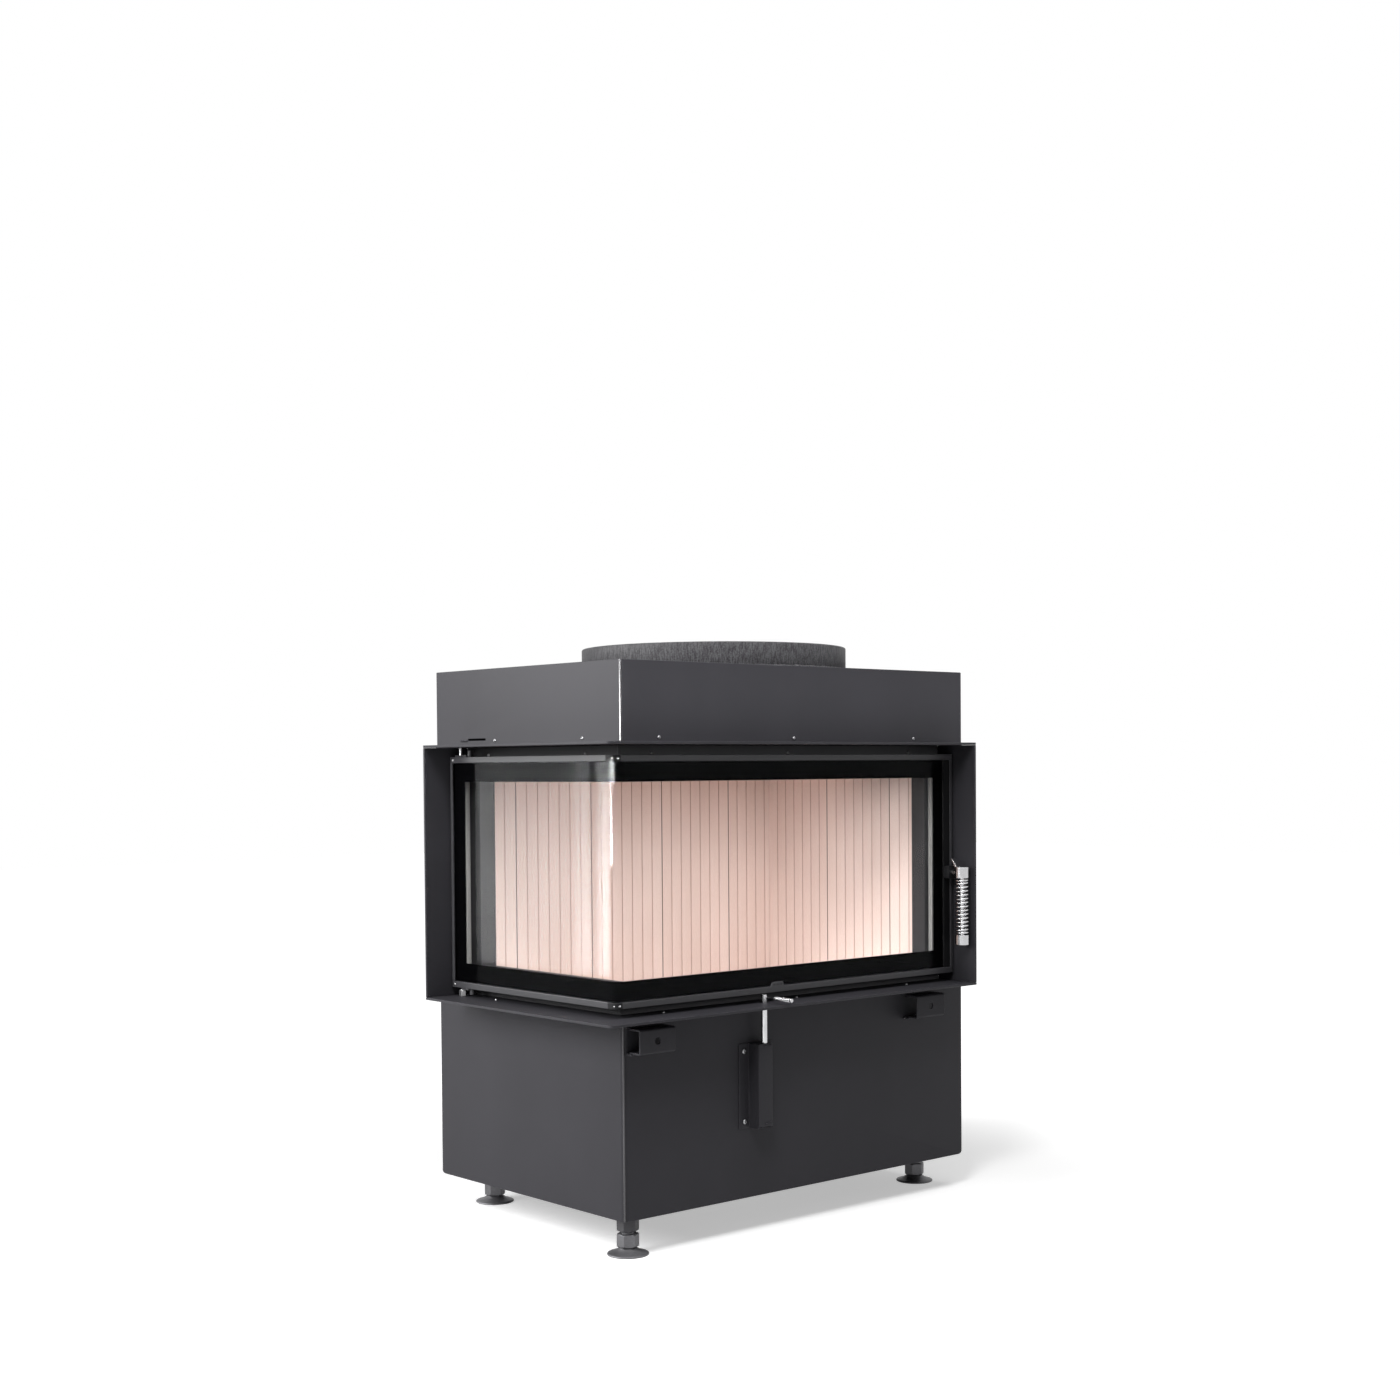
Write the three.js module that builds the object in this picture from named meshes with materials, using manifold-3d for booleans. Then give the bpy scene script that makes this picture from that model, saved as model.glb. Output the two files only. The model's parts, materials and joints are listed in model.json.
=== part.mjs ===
// Corner fireplace insert with a bent glass door. Millimetres, +Z up.
// The pieces are laid out from the near vertical corner of the body: X runs along the front,
// Y runs along the left side to the back, and Z is the height above the floor.
import * as THREE from 'three';
import { mergeVertices } from 'three/addons/utils/BufferGeometryUtils.js';
import Module from 'manifold-3d';

const wasm = await Module();
wasm.setup();

// ---------------------------------------------------------------- driving sizes
const seat = 0.3;               // gap where two pieces rest on each other
const running = 0.6;            // gap beside a piece that moves
const past = 1;                 // how far a cutting solid runs past the faces that it opens
const leastBend = 0.5;          // inner radius of a sharp fold

// stack of the body, from the floor up
const bodyWidth = 770;
const bodyDepth = 499;
const footHeight = 58;
const baseHeight = 307;
const flangePlate = 4;
const doorwayHeight = 409.7;    // between the two flange plates
const hoodHeight = 123.7;
const collarHeight = 39.1;

// sheet work
const casingSheet = 3;
const jacketSheet = 2;
const shellSheet = 4;
const baseBend = 9;
const hoodBend = 5.5;
const baseLowerRound = 14;
const flangeReach = 84.3;       // from the surround's faces to the flange edges
const flangeCorner = 8;
const endPlate = 4;
const rightReturn = 44.4;       // from the right end plate to the body's right side
const backReturn = 79.7;        // from the left end plate to the body's back

// door surround
const surroundX = 9.25;         // its left face
const surroundY = 17.9;         // its front face
const surroundDepth = 30;
const surroundLow = 46;         // height of its bottom strip
const surroundHigh = 52;        // height of its top strip
const surroundPost = 35.3;
const ropeWidth = 8;
const ropeDepth = 9;
const ropeEndInset = 19.8;      // from its right run to the right end plate
const ropeCover = 6;            // how far its level runs lie behind the surround's edges

// collar and smoke passage
const collarX = 400;
const collarFront = 13.4;       // from the hood's front to the collar
const collarRear = 31.4;        // from the collar to the hood's back
const collarWall = 5;
const collarEdge = 2.5;         // rounding of its top edge
const collarLedge = 8;          // how far the hood's top reaches in under the collar
const throatInset = 77.1;       // how much smaller than the collar's radius each of these is
const deflectorInset = 97.1;
const deflectorThickness = 3;
const deflectorHeight = 60;     // its legs
const deflectorLeg = 10;
const deflectorLegInset = 55.1;

// fireclay lining
const liningThickness = 30;
const liningBackGap = 75;       // from its visible faces to the body's sides
const liningRightGap = 70;
const liningLeftX = 63;
const liningHeadroom = 34;      // from its top to the upper flange
const backBrick = 161.9;
const rightBrick = 157.2;
const firstJointX = 110.4;
const grooveCount = 7;          // per brick
const grooveWidth = 3;
const grooveDepth = 2;
const brickJoint = 0.6;
const hearthDrop = 47;          // shell floor below the flange plate
const hearthBrick = 30;
const baffleThickness = 25;
const baffleFrontY = 200;

// door
const doorStandoff = 36.6;      // from its outer face to the surround
const doorDepth = 26.3;
const doorGapLow = 14.6;
const doorGapHigh = 15.5;
const railHeight = 9.8;
const doorEndGapX = 4;          // from its ends to the end plates
const doorEndGapY = 3.3;
const railStartX = -15.4;
const railStartY = 2;
const tailChamferX = 6.4;
const tailChamferY = 6.5;
const glassInset = 2;
const glassThickness = 4;
const glassBend = 16;
const glassEndInset = 19.6;     // the frame's right post comes forward beside the glass
const clipRound = 11;
const edgeStrip = 1.5;
const edgeStripCover = 6;
const frameLow = 26;            // height of the door frame's bottom strip
const frameHigh = 26;
const framePostWide = 16;       // its right post behind the glass
const framePostDeep = 31;       // its left post behind the glass
const framePostSlant = 20;
const tabX = 302.5;
const tabWidth = 32;
const tabTopWidth = 23;
const tabHeight = 7;
const tabThickness = 1.4;
const tabRound = 1;

// door hinge
const hingeInset = 9.35;        // from the door's left face and its back end
const hingeFromEnd = 18;
const pinRadius = 3;
const pinReach = 6;             // how far the pin bores run on into the door frame
const bushRadius = 7;
const bushHeight = 11;
const bushDome = 2;
const bushDomeRadius = 5.6;
const hexSides = 6;
const lugLength = 36;
const lugWidth = 18;
const lugThickness = 2.5;
const lugStartRound = 3;
const lugEndRound = 8;
const studOffset = 27;
const studRadius = 4.5;
const studHeight = 10;

// door handle
const handleInset = 12.1;       // its axis from the door's right end
const handleStandoff = 32.3;    // and from the door's face
const handleRise = 175.6;       // its axle above the door's lower edge
const handleBlock = 22;         // the block on the post that carries the axle
const handleBlockRound = 4;
const capRadius = 12;
const capHeight = 19;
const lowerCapHeight = 17;
const coilLength = 98;
const coilRadius = 10.4;        // to the middle of its wire
const coilWire = 1.6;
const coilTurns = 14;
const rodRadius = 4;
const hubRadius = 6;
const hubLength = 9;
const hubRoot = 3;              // how far the hub runs into the cap
const axleRadius = 3;
const latchLength = 12;
const latchHeight = 5;
const latchThickness = 3.4;
const tongueWidth = 6;
const tongueThickness = 2.4;
const tongueRise = 13;
const tongueRun = 8;
const tongueRoot = 6;
const keeperThickness = 3;
const keeperDepth = 8;
const keeperHeight = 12;

// air control
const shaftX = 273;
const shaftY = -18;
const shaftRadius = 5;
const crankDrop = 159;          // from the top of the base to the underside of the crank
const crankRadius = 30;
const crankThickness = 5;
const crankHalfWidth = 2.5;
const crankPinRadius = 3;
const crankSwingLeft = 23;      // room for the crank in the base wall
const crankSwingRight = 13;
const crankRoom = 2;            // over and under the crank
const shaftHeadroom = 1.5;      // from the shaft to the door's lower edge
const leverRise = 8.7;          // lever above the lower flange
const leverGripStart = 27;
const leverGripLength = 37;
const leverRod = 1.3;
const gripRadius = 2.5;
const gripWire = 0.7;
const gripTurns = 12;
const gripCollar = 2;
const channelLeft = 254;
const channelWidth = 30;
const channelDepth = 26;
const channelSheet = 1.5;
const channelLength = 135;
const channelDrop = 60;         // from the top of the base to the channel
const channelFlange = 21;
const channelRound = 8;
const channelBend = 2;
const slideThickness = 3;
const slideWidth = 250;
const slideLeft = 236;
const slideDepth = 180;
const portCount = 3;
const portWidth = 20;
const portPitch = 62;
const portDepth = 100;
const portInset = 40;           // from the slide's front edge
const portOffset = 50;          // from the shaft to the middle of the first port
const forkWidth = 8.4;
const forkDepth = 12.5;
const airBoxWidth = 330;
const airBoxLeft = 215;
const airBoxDepth = 330;
const airBoxSheet = 2;
const guideHeight = 3.5;
const spigotX = 400;
const spigotY = 235;
const spigotRadius = 62.5;
const spigotWall = 2;
const spigotDrop = 30;
const spigotRim = 12;
const spigotRimHeight = 2;

// front brackets
const bracketWidth = 70;
const bracketDepth = 28;
const bracketHeight = 39;
const bracketSheet = 3;
const bracketBend = 4;
const bracketHole = 5.5;
const bracketDrop = 13.4;       // from the bracket to the top of the base
const bracketFromLeft = 44.9;
const bracketFromRight = 115.8;

// levelling feet
const footInset = 31;           // from the base's edges
const footAside = 90;           // two feet stand further in, clear of the near corner's diagonal
const padRadius = 32.4;
const padRim = 2.5;
const padShoulder = 20.1;
const padShoulderRise = 3;
const padNeck = 11.5;
const padHeight = 12;
const studRodRadius = 10;
const hexFlats = 30.6;
const hexHeight = 20;
const hexChamfer = 2;
const hexCornerRoom = 0.2;
const bossHeight = 20.7;
const studIntoBase = 30;        // room above the boss for the stud to screw in

// slot low in the hood's left side
const hoodSlotFromBack = 121;
const hoodSlotLength = 50;
const hoodSlotHeight = 3;
const hoodSlotRise = 7;

// ---------------------------------------------------------------- derived levels
const baseTop = footHeight + baseHeight;
const deckBottom = baseTop + seat;
const deckTop = deckBottom + flangePlate;
const roofBottom = deckTop + doorwayHeight;
const roofTop = roofBottom + flangePlate;
const hoodBottom = roofTop + seat;
const hoodTop = hoodBottom + hoodHeight;
const collarBottom = hoodTop + seat;
const endPlateX = bodyWidth - rightReturn;
const endPlateY = bodyDepth - backReturn;
const flangeX = surroundX - flangeReach;
const flangeY = surroundY - flangeReach;
const doorX = surroundX - doorStandoff;
const doorY = surroundY - doorStandoff;
const doorBottom = deckTop + doorGapLow;
const doorTop = roofBottom - doorGapHigh;
const doorEndX = endPlateX - doorEndGapX;
const doorEndY = endPlateY - doorEndGapY;
const glassBottom = doorBottom + railHeight + seat;
const glassTop = doorTop - railHeight - seat;
const glassEndX = doorEndX - glassEndInset;
const frameInset = glassInset + glassThickness + seat;
const framePostX = glassEndX - framePostWide;
const framePostY = doorEndY - framePostDeep;
const hingeX = doorX + hingeInset;
const hingeY = doorEndY - hingeFromEnd;
const handleX = doorEndX - handleInset;
const handleY = doorY - handleStandoff;
const handlePivotZ = doorBottom + handleRise;
const ropeEndX = endPlateX - ropeEndInset;
const ropeEndY = endPlateY - running;
const liningBackY = bodyDepth - liningBackGap;
const liningRightX = bodyWidth - liningRightGap;
const liningTop = roofBottom - liningHeadroom;
const collarRadius = (bodyDepth - collarFront - collarRear) / 2;
const collarY = collarFront + collarRadius;
const throatRadius = collarRadius - throatInset;
const deflectorRadius = collarRadius - deflectorInset;
const deflectorLegCircle = collarRadius - deflectorLegInset;
const crankZ = baseTop - crankDrop;
const leverZ = deckTop + leverRise;
const channelHigh = baseTop - channelDrop;
const channelLow = channelHigh - channelLength;
const hoodSlotY = bodyDepth - hoodSlotFromBack;
const shellLeft = surroundX + surroundDepth + seat;
const shellFront = surroundY + surroundDepth + seat;
const shellRight = liningRightX + liningThickness + seat + shellSheet;
const shellBack = liningBackY + liningThickness + seat + shellSheet;
const shellFloor = deckBottom - hearthDrop;
const hearthBottom = shellFloor + shellSheet + seat;

// ---------------------------------------------------------------- materials
function finish(color, roughness, metalness) {
  return new THREE.MeshStandardMaterial({ color, roughness, metalness });
}
const blackPaint = () => finish(0x3b3b3f, 0.6, 0.3);
const greyPaint = () => finish(0x4a4a4e, 0.6, 0.3);
const bareSteel = () => finish(0x6f6e72, 0.5, 0.8);
const brightSteel = () => finish(0xc9c9cc, 0.25, 1);
const fireclay = () => finish(0xe6cdc2, 0.95, 0);
const rope = () => finish(0x9a9896, 1, 0);
const glass = () => {
  const clear = finish(0xdfe6e4, 0.05, 0);
  clear.transparent = true;
  clear.opacity = 0.25;
  return clear;
};

// ---------------------------------------------------------------- solid helpers
function toSolid(geometry) {
  const bare = geometry.clone();
  bare.deleteAttribute('normal');
  bare.deleteAttribute('uv');
  const merged = mergeVertices(bare, 1e-4);
  return new wasm.Manifold(new wasm.Mesh({
    numProp: 3,
    vertProperties: Float32Array.from(merged.attributes.position.array),
    triVerts: Uint32Array.from(merged.index.array),
  }));
}

function toGeometry(solid) {
  const { vertProperties, triVerts } = solid.getMesh();
  const geometry = new THREE.BufferGeometry();
  geometry.setAttribute('position', new THREE.BufferAttribute(vertProperties, 3));
  geometry.setIndex(new THREE.BufferAttribute(triVerts, 1));
  geometry.computeVertexNormals();
  return geometry;
}

function join(...solids) {
  return solids.reduce((whole, piece) => whole.add(piece));
}

function block(x0, x1, y0, y1, z0, z1) {
  const box = new THREE.BoxGeometry(x1 - x0, y1 - y0, z1 - z0);
  return toSolid(box.translate((x0 + x1) / 2, (y0 + y1) / 2, (z0 + z1) / 2));
}

// A closed outline from corners [x, y, radius]; a corner without a radius stays sharp.
function outline(corners) {
  const arcSteps = 5;
  const points = [];
  corners.forEach(([x, y, radius = 0], i) => {
    const corner = new THREE.Vector2(x, y);
    if (!radius) {
      points.push(corner);
      return;
    }
    const [fromX, fromY] = corners[(i + corners.length - 1) % corners.length];
    const [toX, toY] = corners[(i + 1) % corners.length];
    const back = new THREE.Vector2(fromX, fromY).sub(corner).normalize();
    const ahead = new THREE.Vector2(toX, toY).sub(corner).normalize();
    const half = Math.acos(back.dot(ahead)) / 2;
    const centre = back.clone().add(ahead).normalize()
      .multiplyScalar(radius / Math.sin(half)).add(corner);
    const start = back.clone().multiplyScalar(radius / Math.tan(half)).add(corner).sub(centre);
    const end = ahead.clone().multiplyScalar(radius / Math.tan(half)).add(corner).sub(centre);
    const turn = Math.atan2(start.cross(end), start.dot(end));
    for (let step = 0; step <= arcSteps; step++) {
      points.push(start.clone().rotateAround(new THREE.Vector2(), turn * step / arcSteps).add(centre));
    }
  });
  return new THREE.Shape(points);
}

// Extrudes an outline drawn in XY from z0 to z1.
function upright(shape, z0, z1, curveSegments = 24) {
  const body = new THREE.ExtrudeGeometry(shape, { depth: z1 - z0, bevelEnabled: false, curveSegments });
  return toSolid(body.translate(0, 0, z0));
}

// Extrudes an outline drawn in YZ from x0 to x1.
function alongX(shape, x0, x1) {
  const body = new THREE.ExtrudeGeometry(shape, { depth: x1 - x0, bevelEnabled: false });
  body.applyMatrix4(new THREE.Matrix4().makeBasis(
    new THREE.Vector3(0, 1, 0), new THREE.Vector3(0, 0, 1), new THREE.Vector3(1, 0, 0)));
  return toSolid(body.translate(x0, 0, 0));
}

// Extrudes an outline drawn in XZ from y0 to y1.
function alongY(shape, y0, y1) {
  const body = new THREE.ExtrudeGeometry(shape, { depth: y1 - y0, bevelEnabled: false });
  body.applyMatrix4(new THREE.Matrix4().makeBasis(
    new THREE.Vector3(1, 0, 0), new THREE.Vector3(0, 0, 1), new THREE.Vector3(0, -1, 0)));
  return toSolid(body.translate(0, y1, 0));
}

function rod(radius, x, y, z0, z1, sides = 24) {
  const cylinder = new THREE.CylinderGeometry(radius, radius, z1 - z0, sides).rotateX(Math.PI / 2);
  return toSolid(cylinder.translate(x, y, (z0 + z1) / 2));
}

function rodAlongY(radius, x, z, y0, y1, sides = 20) {
  const cylinder = new THREE.CylinderGeometry(radius, radius, y1 - y0, sides);
  return toSolid(cylinder.translate(x, (y0 + y1) / 2, z));
}

// Turns a closed profile of [radius, height] round Z.
function turned(profile, sides) {
  const points = profile.map(([radius, height]) => new THREE.Vector2(radius, height));
  return toSolid(new THREE.LatheGeometry([...points, points[0]], sides).rotateX(Math.PI / 2));
}

// A plan in the shape of the corner: two legs that follow the left side and the front.
function cornerPlan(x, y, endX, endY, depth, round = 0) {
  const inner = Math.max(round - depth, 0);
  return outline([
    [x, y, round], [endX, y], [endX, y + depth],
    [x + depth, y + depth, inner], [x + depth, endY], [x, endY],
  ]);
}

// A wire wound about Z from z0 to z1, with its ends a flat turn short of the caps.
function woundWire(name, radius, wire, turns, z0, z1) {
  const stepsPerTurn = 8;
  const sides = 5;
  const steps = turns * stepsPerTurn;
  const rise = z1 - z0 - 2 * wire;
  const pitch = rise / turns;
  const rings = [];
  for (let step = 0; step <= steps; step++) {
    const angle = step / stepsPerTurn * 2 * Math.PI;
    const middle = new THREE.Vector3(
      radius * Math.cos(angle), radius * Math.sin(angle), z0 + wire + rise * step / steps);
    const outward = new THREE.Vector3(Math.cos(angle), Math.sin(angle), 0);
    const up = new THREE.Vector3(0, 0, 1);
    for (let side = 0; side < sides; side++) {
      const around = side / sides * 2 * Math.PI;
      rings.push(middle.clone()
        .addScaledVector(outward, wire * Math.cos(around))
        .addScaledVector(up, wire * Math.sin(around)));
    }
  }
  const triangles = [];
  for (let step = 0; step < steps; step++) {
    for (let side = 0; side < sides; side++) {
      const a = step * sides + side;
      const b = step * sides + (side + 1) % sides;
      triangles.push(a, a + sides, b, b, a + sides, b + sides);
    }
  }
  const last = steps * sides;
  for (let side = 1; side < sides - 1; side++) {
    triangles.push(0, side, side + 1);
    triangles.push(last, last + side + 1, last + side);
  }
  const geometry = new THREE.BufferGeometry().setFromPoints(rings);
  geometry.setIndex(triangles);
  geometry.computeVertexNormals();
  const selfGap = leastTurnGap(rings, sides, stepsPerTurn);
  console.log(`${name}: pitch ${pitch.toFixed(2)}, least gap to itself ${selfGap.toFixed(2)}`);
  return geometry;
}

// The least distance between the points of one turn and those of the next.
function leastTurnGap(points, sides, stepsPerTurn) {
  const turnPoints = sides * stepsPerTurn;
  let least = Infinity;
  for (let i = 0; i + turnPoints <= points.length; i++) {
    const nextTurn = points.slice(i + turnPoints - 2 * sides, i + turnPoints + 2 * sides);
    for (const other of nextTurn) {
      least = Math.min(least, points[i].distanceTo(other));
    }
  }
  return least;
}

// ---------------------------------------------------------------- scene graph
const insert = new THREE.Group();

function add(parent, name, shape, material, x = 0, y = 0, z = 0) {
  const geometry = shape.isBufferGeometry ? shape : toGeometry(shape);
  const mesh = new THREE.Mesh(geometry, material);
  mesh.name = name;
  mesh.position.set(x, y, z);
  parent.add(mesh);
  return mesh;
}

// Base casing: a folded box, open at the top, with rounded lower edges at the right and back.
function casingPlan(inset, bend) {
  const round = Math.max(bend - inset, leastBend);
  return outline([
    [inset, inset, round], [bodyWidth - inset, inset, round],
    [bodyWidth - inset, bodyDepth - inset, round], [inset, bodyDepth - inset, round],
  ]);
}

function baseBody(inset, z0, z1) {
  const round = baseLowerRound - inset;
  const seenFromFront = outline([
    [inset, z0], [bodyWidth - inset, z0, round], [bodyWidth - inset, z1], [inset, z1]]);
  const seenFromLeft = outline([
    [inset, z0], [bodyDepth - inset, z0, round], [bodyDepth - inset, z1], [inset, z1]]);
  return upright(casingPlan(inset, baseBend), z0, z1)
    .intersect(alongY(seenFromFront, 0, bodyDepth))
    .intersect(alongX(seenFromLeft, 0, bodyWidth));
}

const footPlaces = [
  ['front_left', footInset, footInset],
  ['rear_left', footAside, bodyDepth - footInset],
  ['front_right', bodyWidth - footInset, footAside],
  ['rear_right', bodyWidth - footInset, bodyDepth - footInset],
];

function makeBase() {
  const floorTop = footHeight + casingSheet;
  let casing = baseBody(0, footHeight, baseTop)
    .subtract(baseBody(casingSheet, floorTop, baseTop + past))
    .subtract(rod(spigotRadius + seat, spigotX, spigotY, footHeight - past, floorTop + past, 48))
    .subtract(block(shaftX - crankSwingLeft, shaftX + crankSwingRight, -past, casingSheet + past,
      crankZ - crankRoom, crankZ + crankThickness + crankRoom));
  for (const [, x, y] of footPlaces) {
    casing = casing.subtract(rod(studRodRadius + running, x, y, footHeight - past, floorTop + past));
  }
  add(insert, 'base_casing', casing, blackPaint());
}

// The two flange plates: the body's full plan, reaching out round the door on two sides.
function flangePlan() {
  return outline([
    [flangeX, flangeY, flangeCorner], [endPlateX + endPlate, flangeY],
    [endPlateX + endPlate, 0], [bodyWidth, 0], [bodyWidth, bodyDepth], [0, bodyDepth],
    [0, endPlateY + endPlate], [flangeX, endPlateY + endPlate],
  ]);
}

function makeFlanges() {
  const shaftHole = rod(shaftRadius + seat, shaftX, shaftY, deckBottom - past, deckTop + past);
  const shellHole = block(shellLeft - seat, shellRight + seat, shellFront - seat, shellBack + seat,
    deckBottom - past, deckTop + past);
  const lower = upright(flangePlan(), deckBottom, deckTop).subtract(shaftHole).subtract(shellHole);
  add(insert, 'flange_bottom', lower, blackPaint());

  const throat = rod(throatRadius, collarX, collarY, roofBottom - past, roofTop + past, 48);
  const upper = upright(flangePlan(), roofBottom, roofTop).subtract(throat);
  add(insert, 'flange_top', upper, blackPaint());

  const plateBottom = deckTop + seat;
  const plateTop = roofBottom - seat;
  const left = block(flangeX, surroundX - seat, endPlateY, endPlateY + endPlate, plateBottom, plateTop);
  add(insert, 'flange_end_left', left, blackPaint());
  const right = block(endPlateX, endPlateX + endPlate, flangeY, surroundY - seat, plateBottom, plateTop);
  add(insert, 'flange_end_right', right, blackPaint());
}

// Door surround: an L-shaped frame, with a post at each far end and none at the near corner.
function makeSurround() {
  const bottom = deckTop + seat;
  const top = roofBottom - seat;
  const endX = endPlateX - seat;
  const endY = endPlateY - seat;
  const plan = cornerPlan(surroundX, surroundY, endX, endY, surroundDepth);
  const postY = endY - surroundPost;
  const postX = endX - surroundPost;
  const surround = join(
    upright(plan, bottom, bottom + surroundLow),
    upright(plan, top - surroundHigh, top),
    block(surroundX, surroundX + surroundDepth, postY, endY, bottom, top),
    block(postX, endX, surroundY, surroundY + surroundDepth, bottom, top));
  add(insert, 'door_surround', surround, greyPaint());

  // rope seal laid round the opening, on the surround's faces, thinned where the door's tail
  // swings past it
  const ropeX = surroundX - seat - ropeDepth;
  const ropeY = surroundY - seat - ropeDepth;
  const ropePlan = cornerPlan(ropeX, ropeY, ropeEndX, ropeEndY, ropeDepth);
  const ropeLow = bottom + surroundLow - ropeWidth - ropeCover;
  const ropeHigh = top - surroundHigh + ropeCover;
  const seal = join(
    upright(ropePlan, ropeLow, ropeLow + ropeWidth),
    upright(ropePlan, ropeHigh, ropeHigh + ropeWidth),
    block(ropeX, ropeX + ropeDepth, ropeEndY - ropeWidth, ropeEndY, ropeLow, ropeHigh + ropeWidth),
    block(ropeEndX - ropeWidth, ropeEndX, ropeY, ropeY + ropeDepth, ropeLow, ropeHigh + ropeWidth));
  const sweepX = doorX + doorDepth - tailChamferX - hingeX;
  const doorTail = Math.hypot(sweepX, doorEndY - hingeY) + running;
  const thinned = seal.subtract(
    rod(doorTail, hingeX, hingeY, ropeLow - past, ropeHigh + ropeWidth + past, 48));
  add(insert, 'rope_seal', thinned, rope());

  // keeper that the door's latch comes to rest against
  const keeperX = endPlateX - seat;
  const keeperZ = handlePivotZ + latchHeight / 2 + running;
  const keeperY = doorY + doorDepth + running;
  const keeper = block(keeperX - keeperDepth, keeperX, keeperY, surroundY - seat,
    keeperZ, keeperZ + keeperThickness)
    .add(block(keeperX - keeperThickness, keeperX, keeperY, surroundY - seat,
      keeperZ, keeperZ + keeperHeight));
  add(insert, 'latch_keeper', keeper, bareSteel());
}

// Firebox shell: a welded steel tub that hangs in the lower flange plate, with tall walls
// at the back, at the right and beside the left post.
function makeShell() {
  const top = roofBottom - seat;
  const lowTop = deckTop + seat + surroundLow;
  const bottom = shellFloor;
  const shell = join(
    block(shellLeft, shellRight, shellFront, shellBack, bottom, bottom + shellSheet),
    block(shellLeft, shellRight, shellBack - shellSheet, shellBack, bottom, top),
    block(shellRight - shellSheet, shellRight, shellFront, shellBack, bottom, top),
    block(shellLeft, shellLeft + shellSheet, endPlateY, shellBack, bottom, top),
    block(shellLeft, shellLeft + shellSheet, shellFront, shellBack, bottom, lowTop),
    block(shellLeft, shellRight, shellFront, shellFront + shellSheet, bottom, lowTop));
  add(insert, 'firebox_shell', shell, greyPaint());
}

// One upright lining brick, drawn in plan with its grooved face towards -Y.
function brick(width, grooveOffset, pitch, height) {
  const corners = [[0, 0]];
  for (let x = grooveOffset; x < width - grooveWidth; x += pitch) {
    if (x > grooveWidth) {
      corners.push([x - grooveWidth / 2, 0], [x, grooveDepth], [x + grooveWidth / 2, 0]);
    }
  }
  corners.push([width, 0], [width, liningThickness], [0, liningThickness]);
  return upright(outline(corners), 0, height);
}

function makeLining() {
  const height = liningTop - hearthBottom;
  const backPitch = backBrick / grooveCount;
  const rightPitch = rightBrick / grooveCount;
  const backEnd = liningRightX + liningThickness;
  const backJoints = [liningLeftX];
  for (let x = firstJointX; x < backEnd - backPitch; x += backBrick) {
    backJoints.push(x);
  }
  backJoints.push(backEnd + brickJoint);
  for (let i = 0; i + 1 < backJoints.length; i++) {
    const width = backJoints[i + 1] - backJoints[i] - brickJoint;
    const grooveOffset = i === 0 ? (firstJointX - liningLeftX) % backPitch : backPitch;
    const shape = brick(width, grooveOffset, backPitch, height);
    add(insert, `lining_back_${i + 1}`, shape, fireclay(), backJoints[i], liningBackY, hearthBottom);
  }

  const rightFront = shellFront + shellSheet + seat;
  const rightJoints = [liningBackY - brickJoint];
  for (let y = liningBackY - rightBrick; y > rightFront + rightPitch; y -= rightBrick) {
    rightJoints.push(y);
  }
  rightJoints.push(rightFront - brickJoint);
  for (let i = 0; i + 1 < rightJoints.length; i++) {
    const width = rightJoints[i] - rightJoints[i + 1] - brickJoint;
    const shape = brick(width, rightPitch, rightPitch, height);
    const mesh = add(insert, `lining_right_${i + 1}`, shape, fireclay(),
      liningRightX, rightJoints[i], hearthBottom);
    mesh.rotation.z = -Math.PI / 2;
  }

  // hearth: a fireclay slab on the shell's floor, inside the lining
  const hearth = block(shellLeft + shellSheet + seat, liningRightX - seat, rightFront,
    liningBackY - seat, hearthBottom, hearthBottom + hearthBrick);
  add(insert, 'hearth_slab', hearth, fireclay());

  // baffle slab on top of the lining, open towards the door
  const baffleBottom = liningTop + seat;
  add(insert, 'baffle_slab', block(liningLeftX, liningRightX + liningThickness,
    baffleFrontY, liningBackY + liningThickness, baffleBottom, baffleBottom + baffleThickness),
  fireclay());
}

// Outer sheet round the left rear, the back, the right side and the front right edge.
function makeJacket() {
  const t = jacketSheet;
  const frontEdge = endPlateX + endPlate + seat;
  const rearEdge = endPlateY + endPlate + seat;
  const plan = outline([
    [0, rearEdge], [t, rearEdge], [t, bodyDepth - t, baseBend - t],
    [bodyWidth - t, bodyDepth - t, baseBend - t], [bodyWidth - t, t, baseBend - t],
    [frontEdge, t], [frontEdge, 0], [bodyWidth, 0, baseBend],
    [bodyWidth, bodyDepth, baseBend], [0, bodyDepth, baseBend],
  ]);
  add(insert, 'rear_jacket', upright(plan, deckTop + seat, roofBottom - seat), blackPaint());
}

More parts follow.
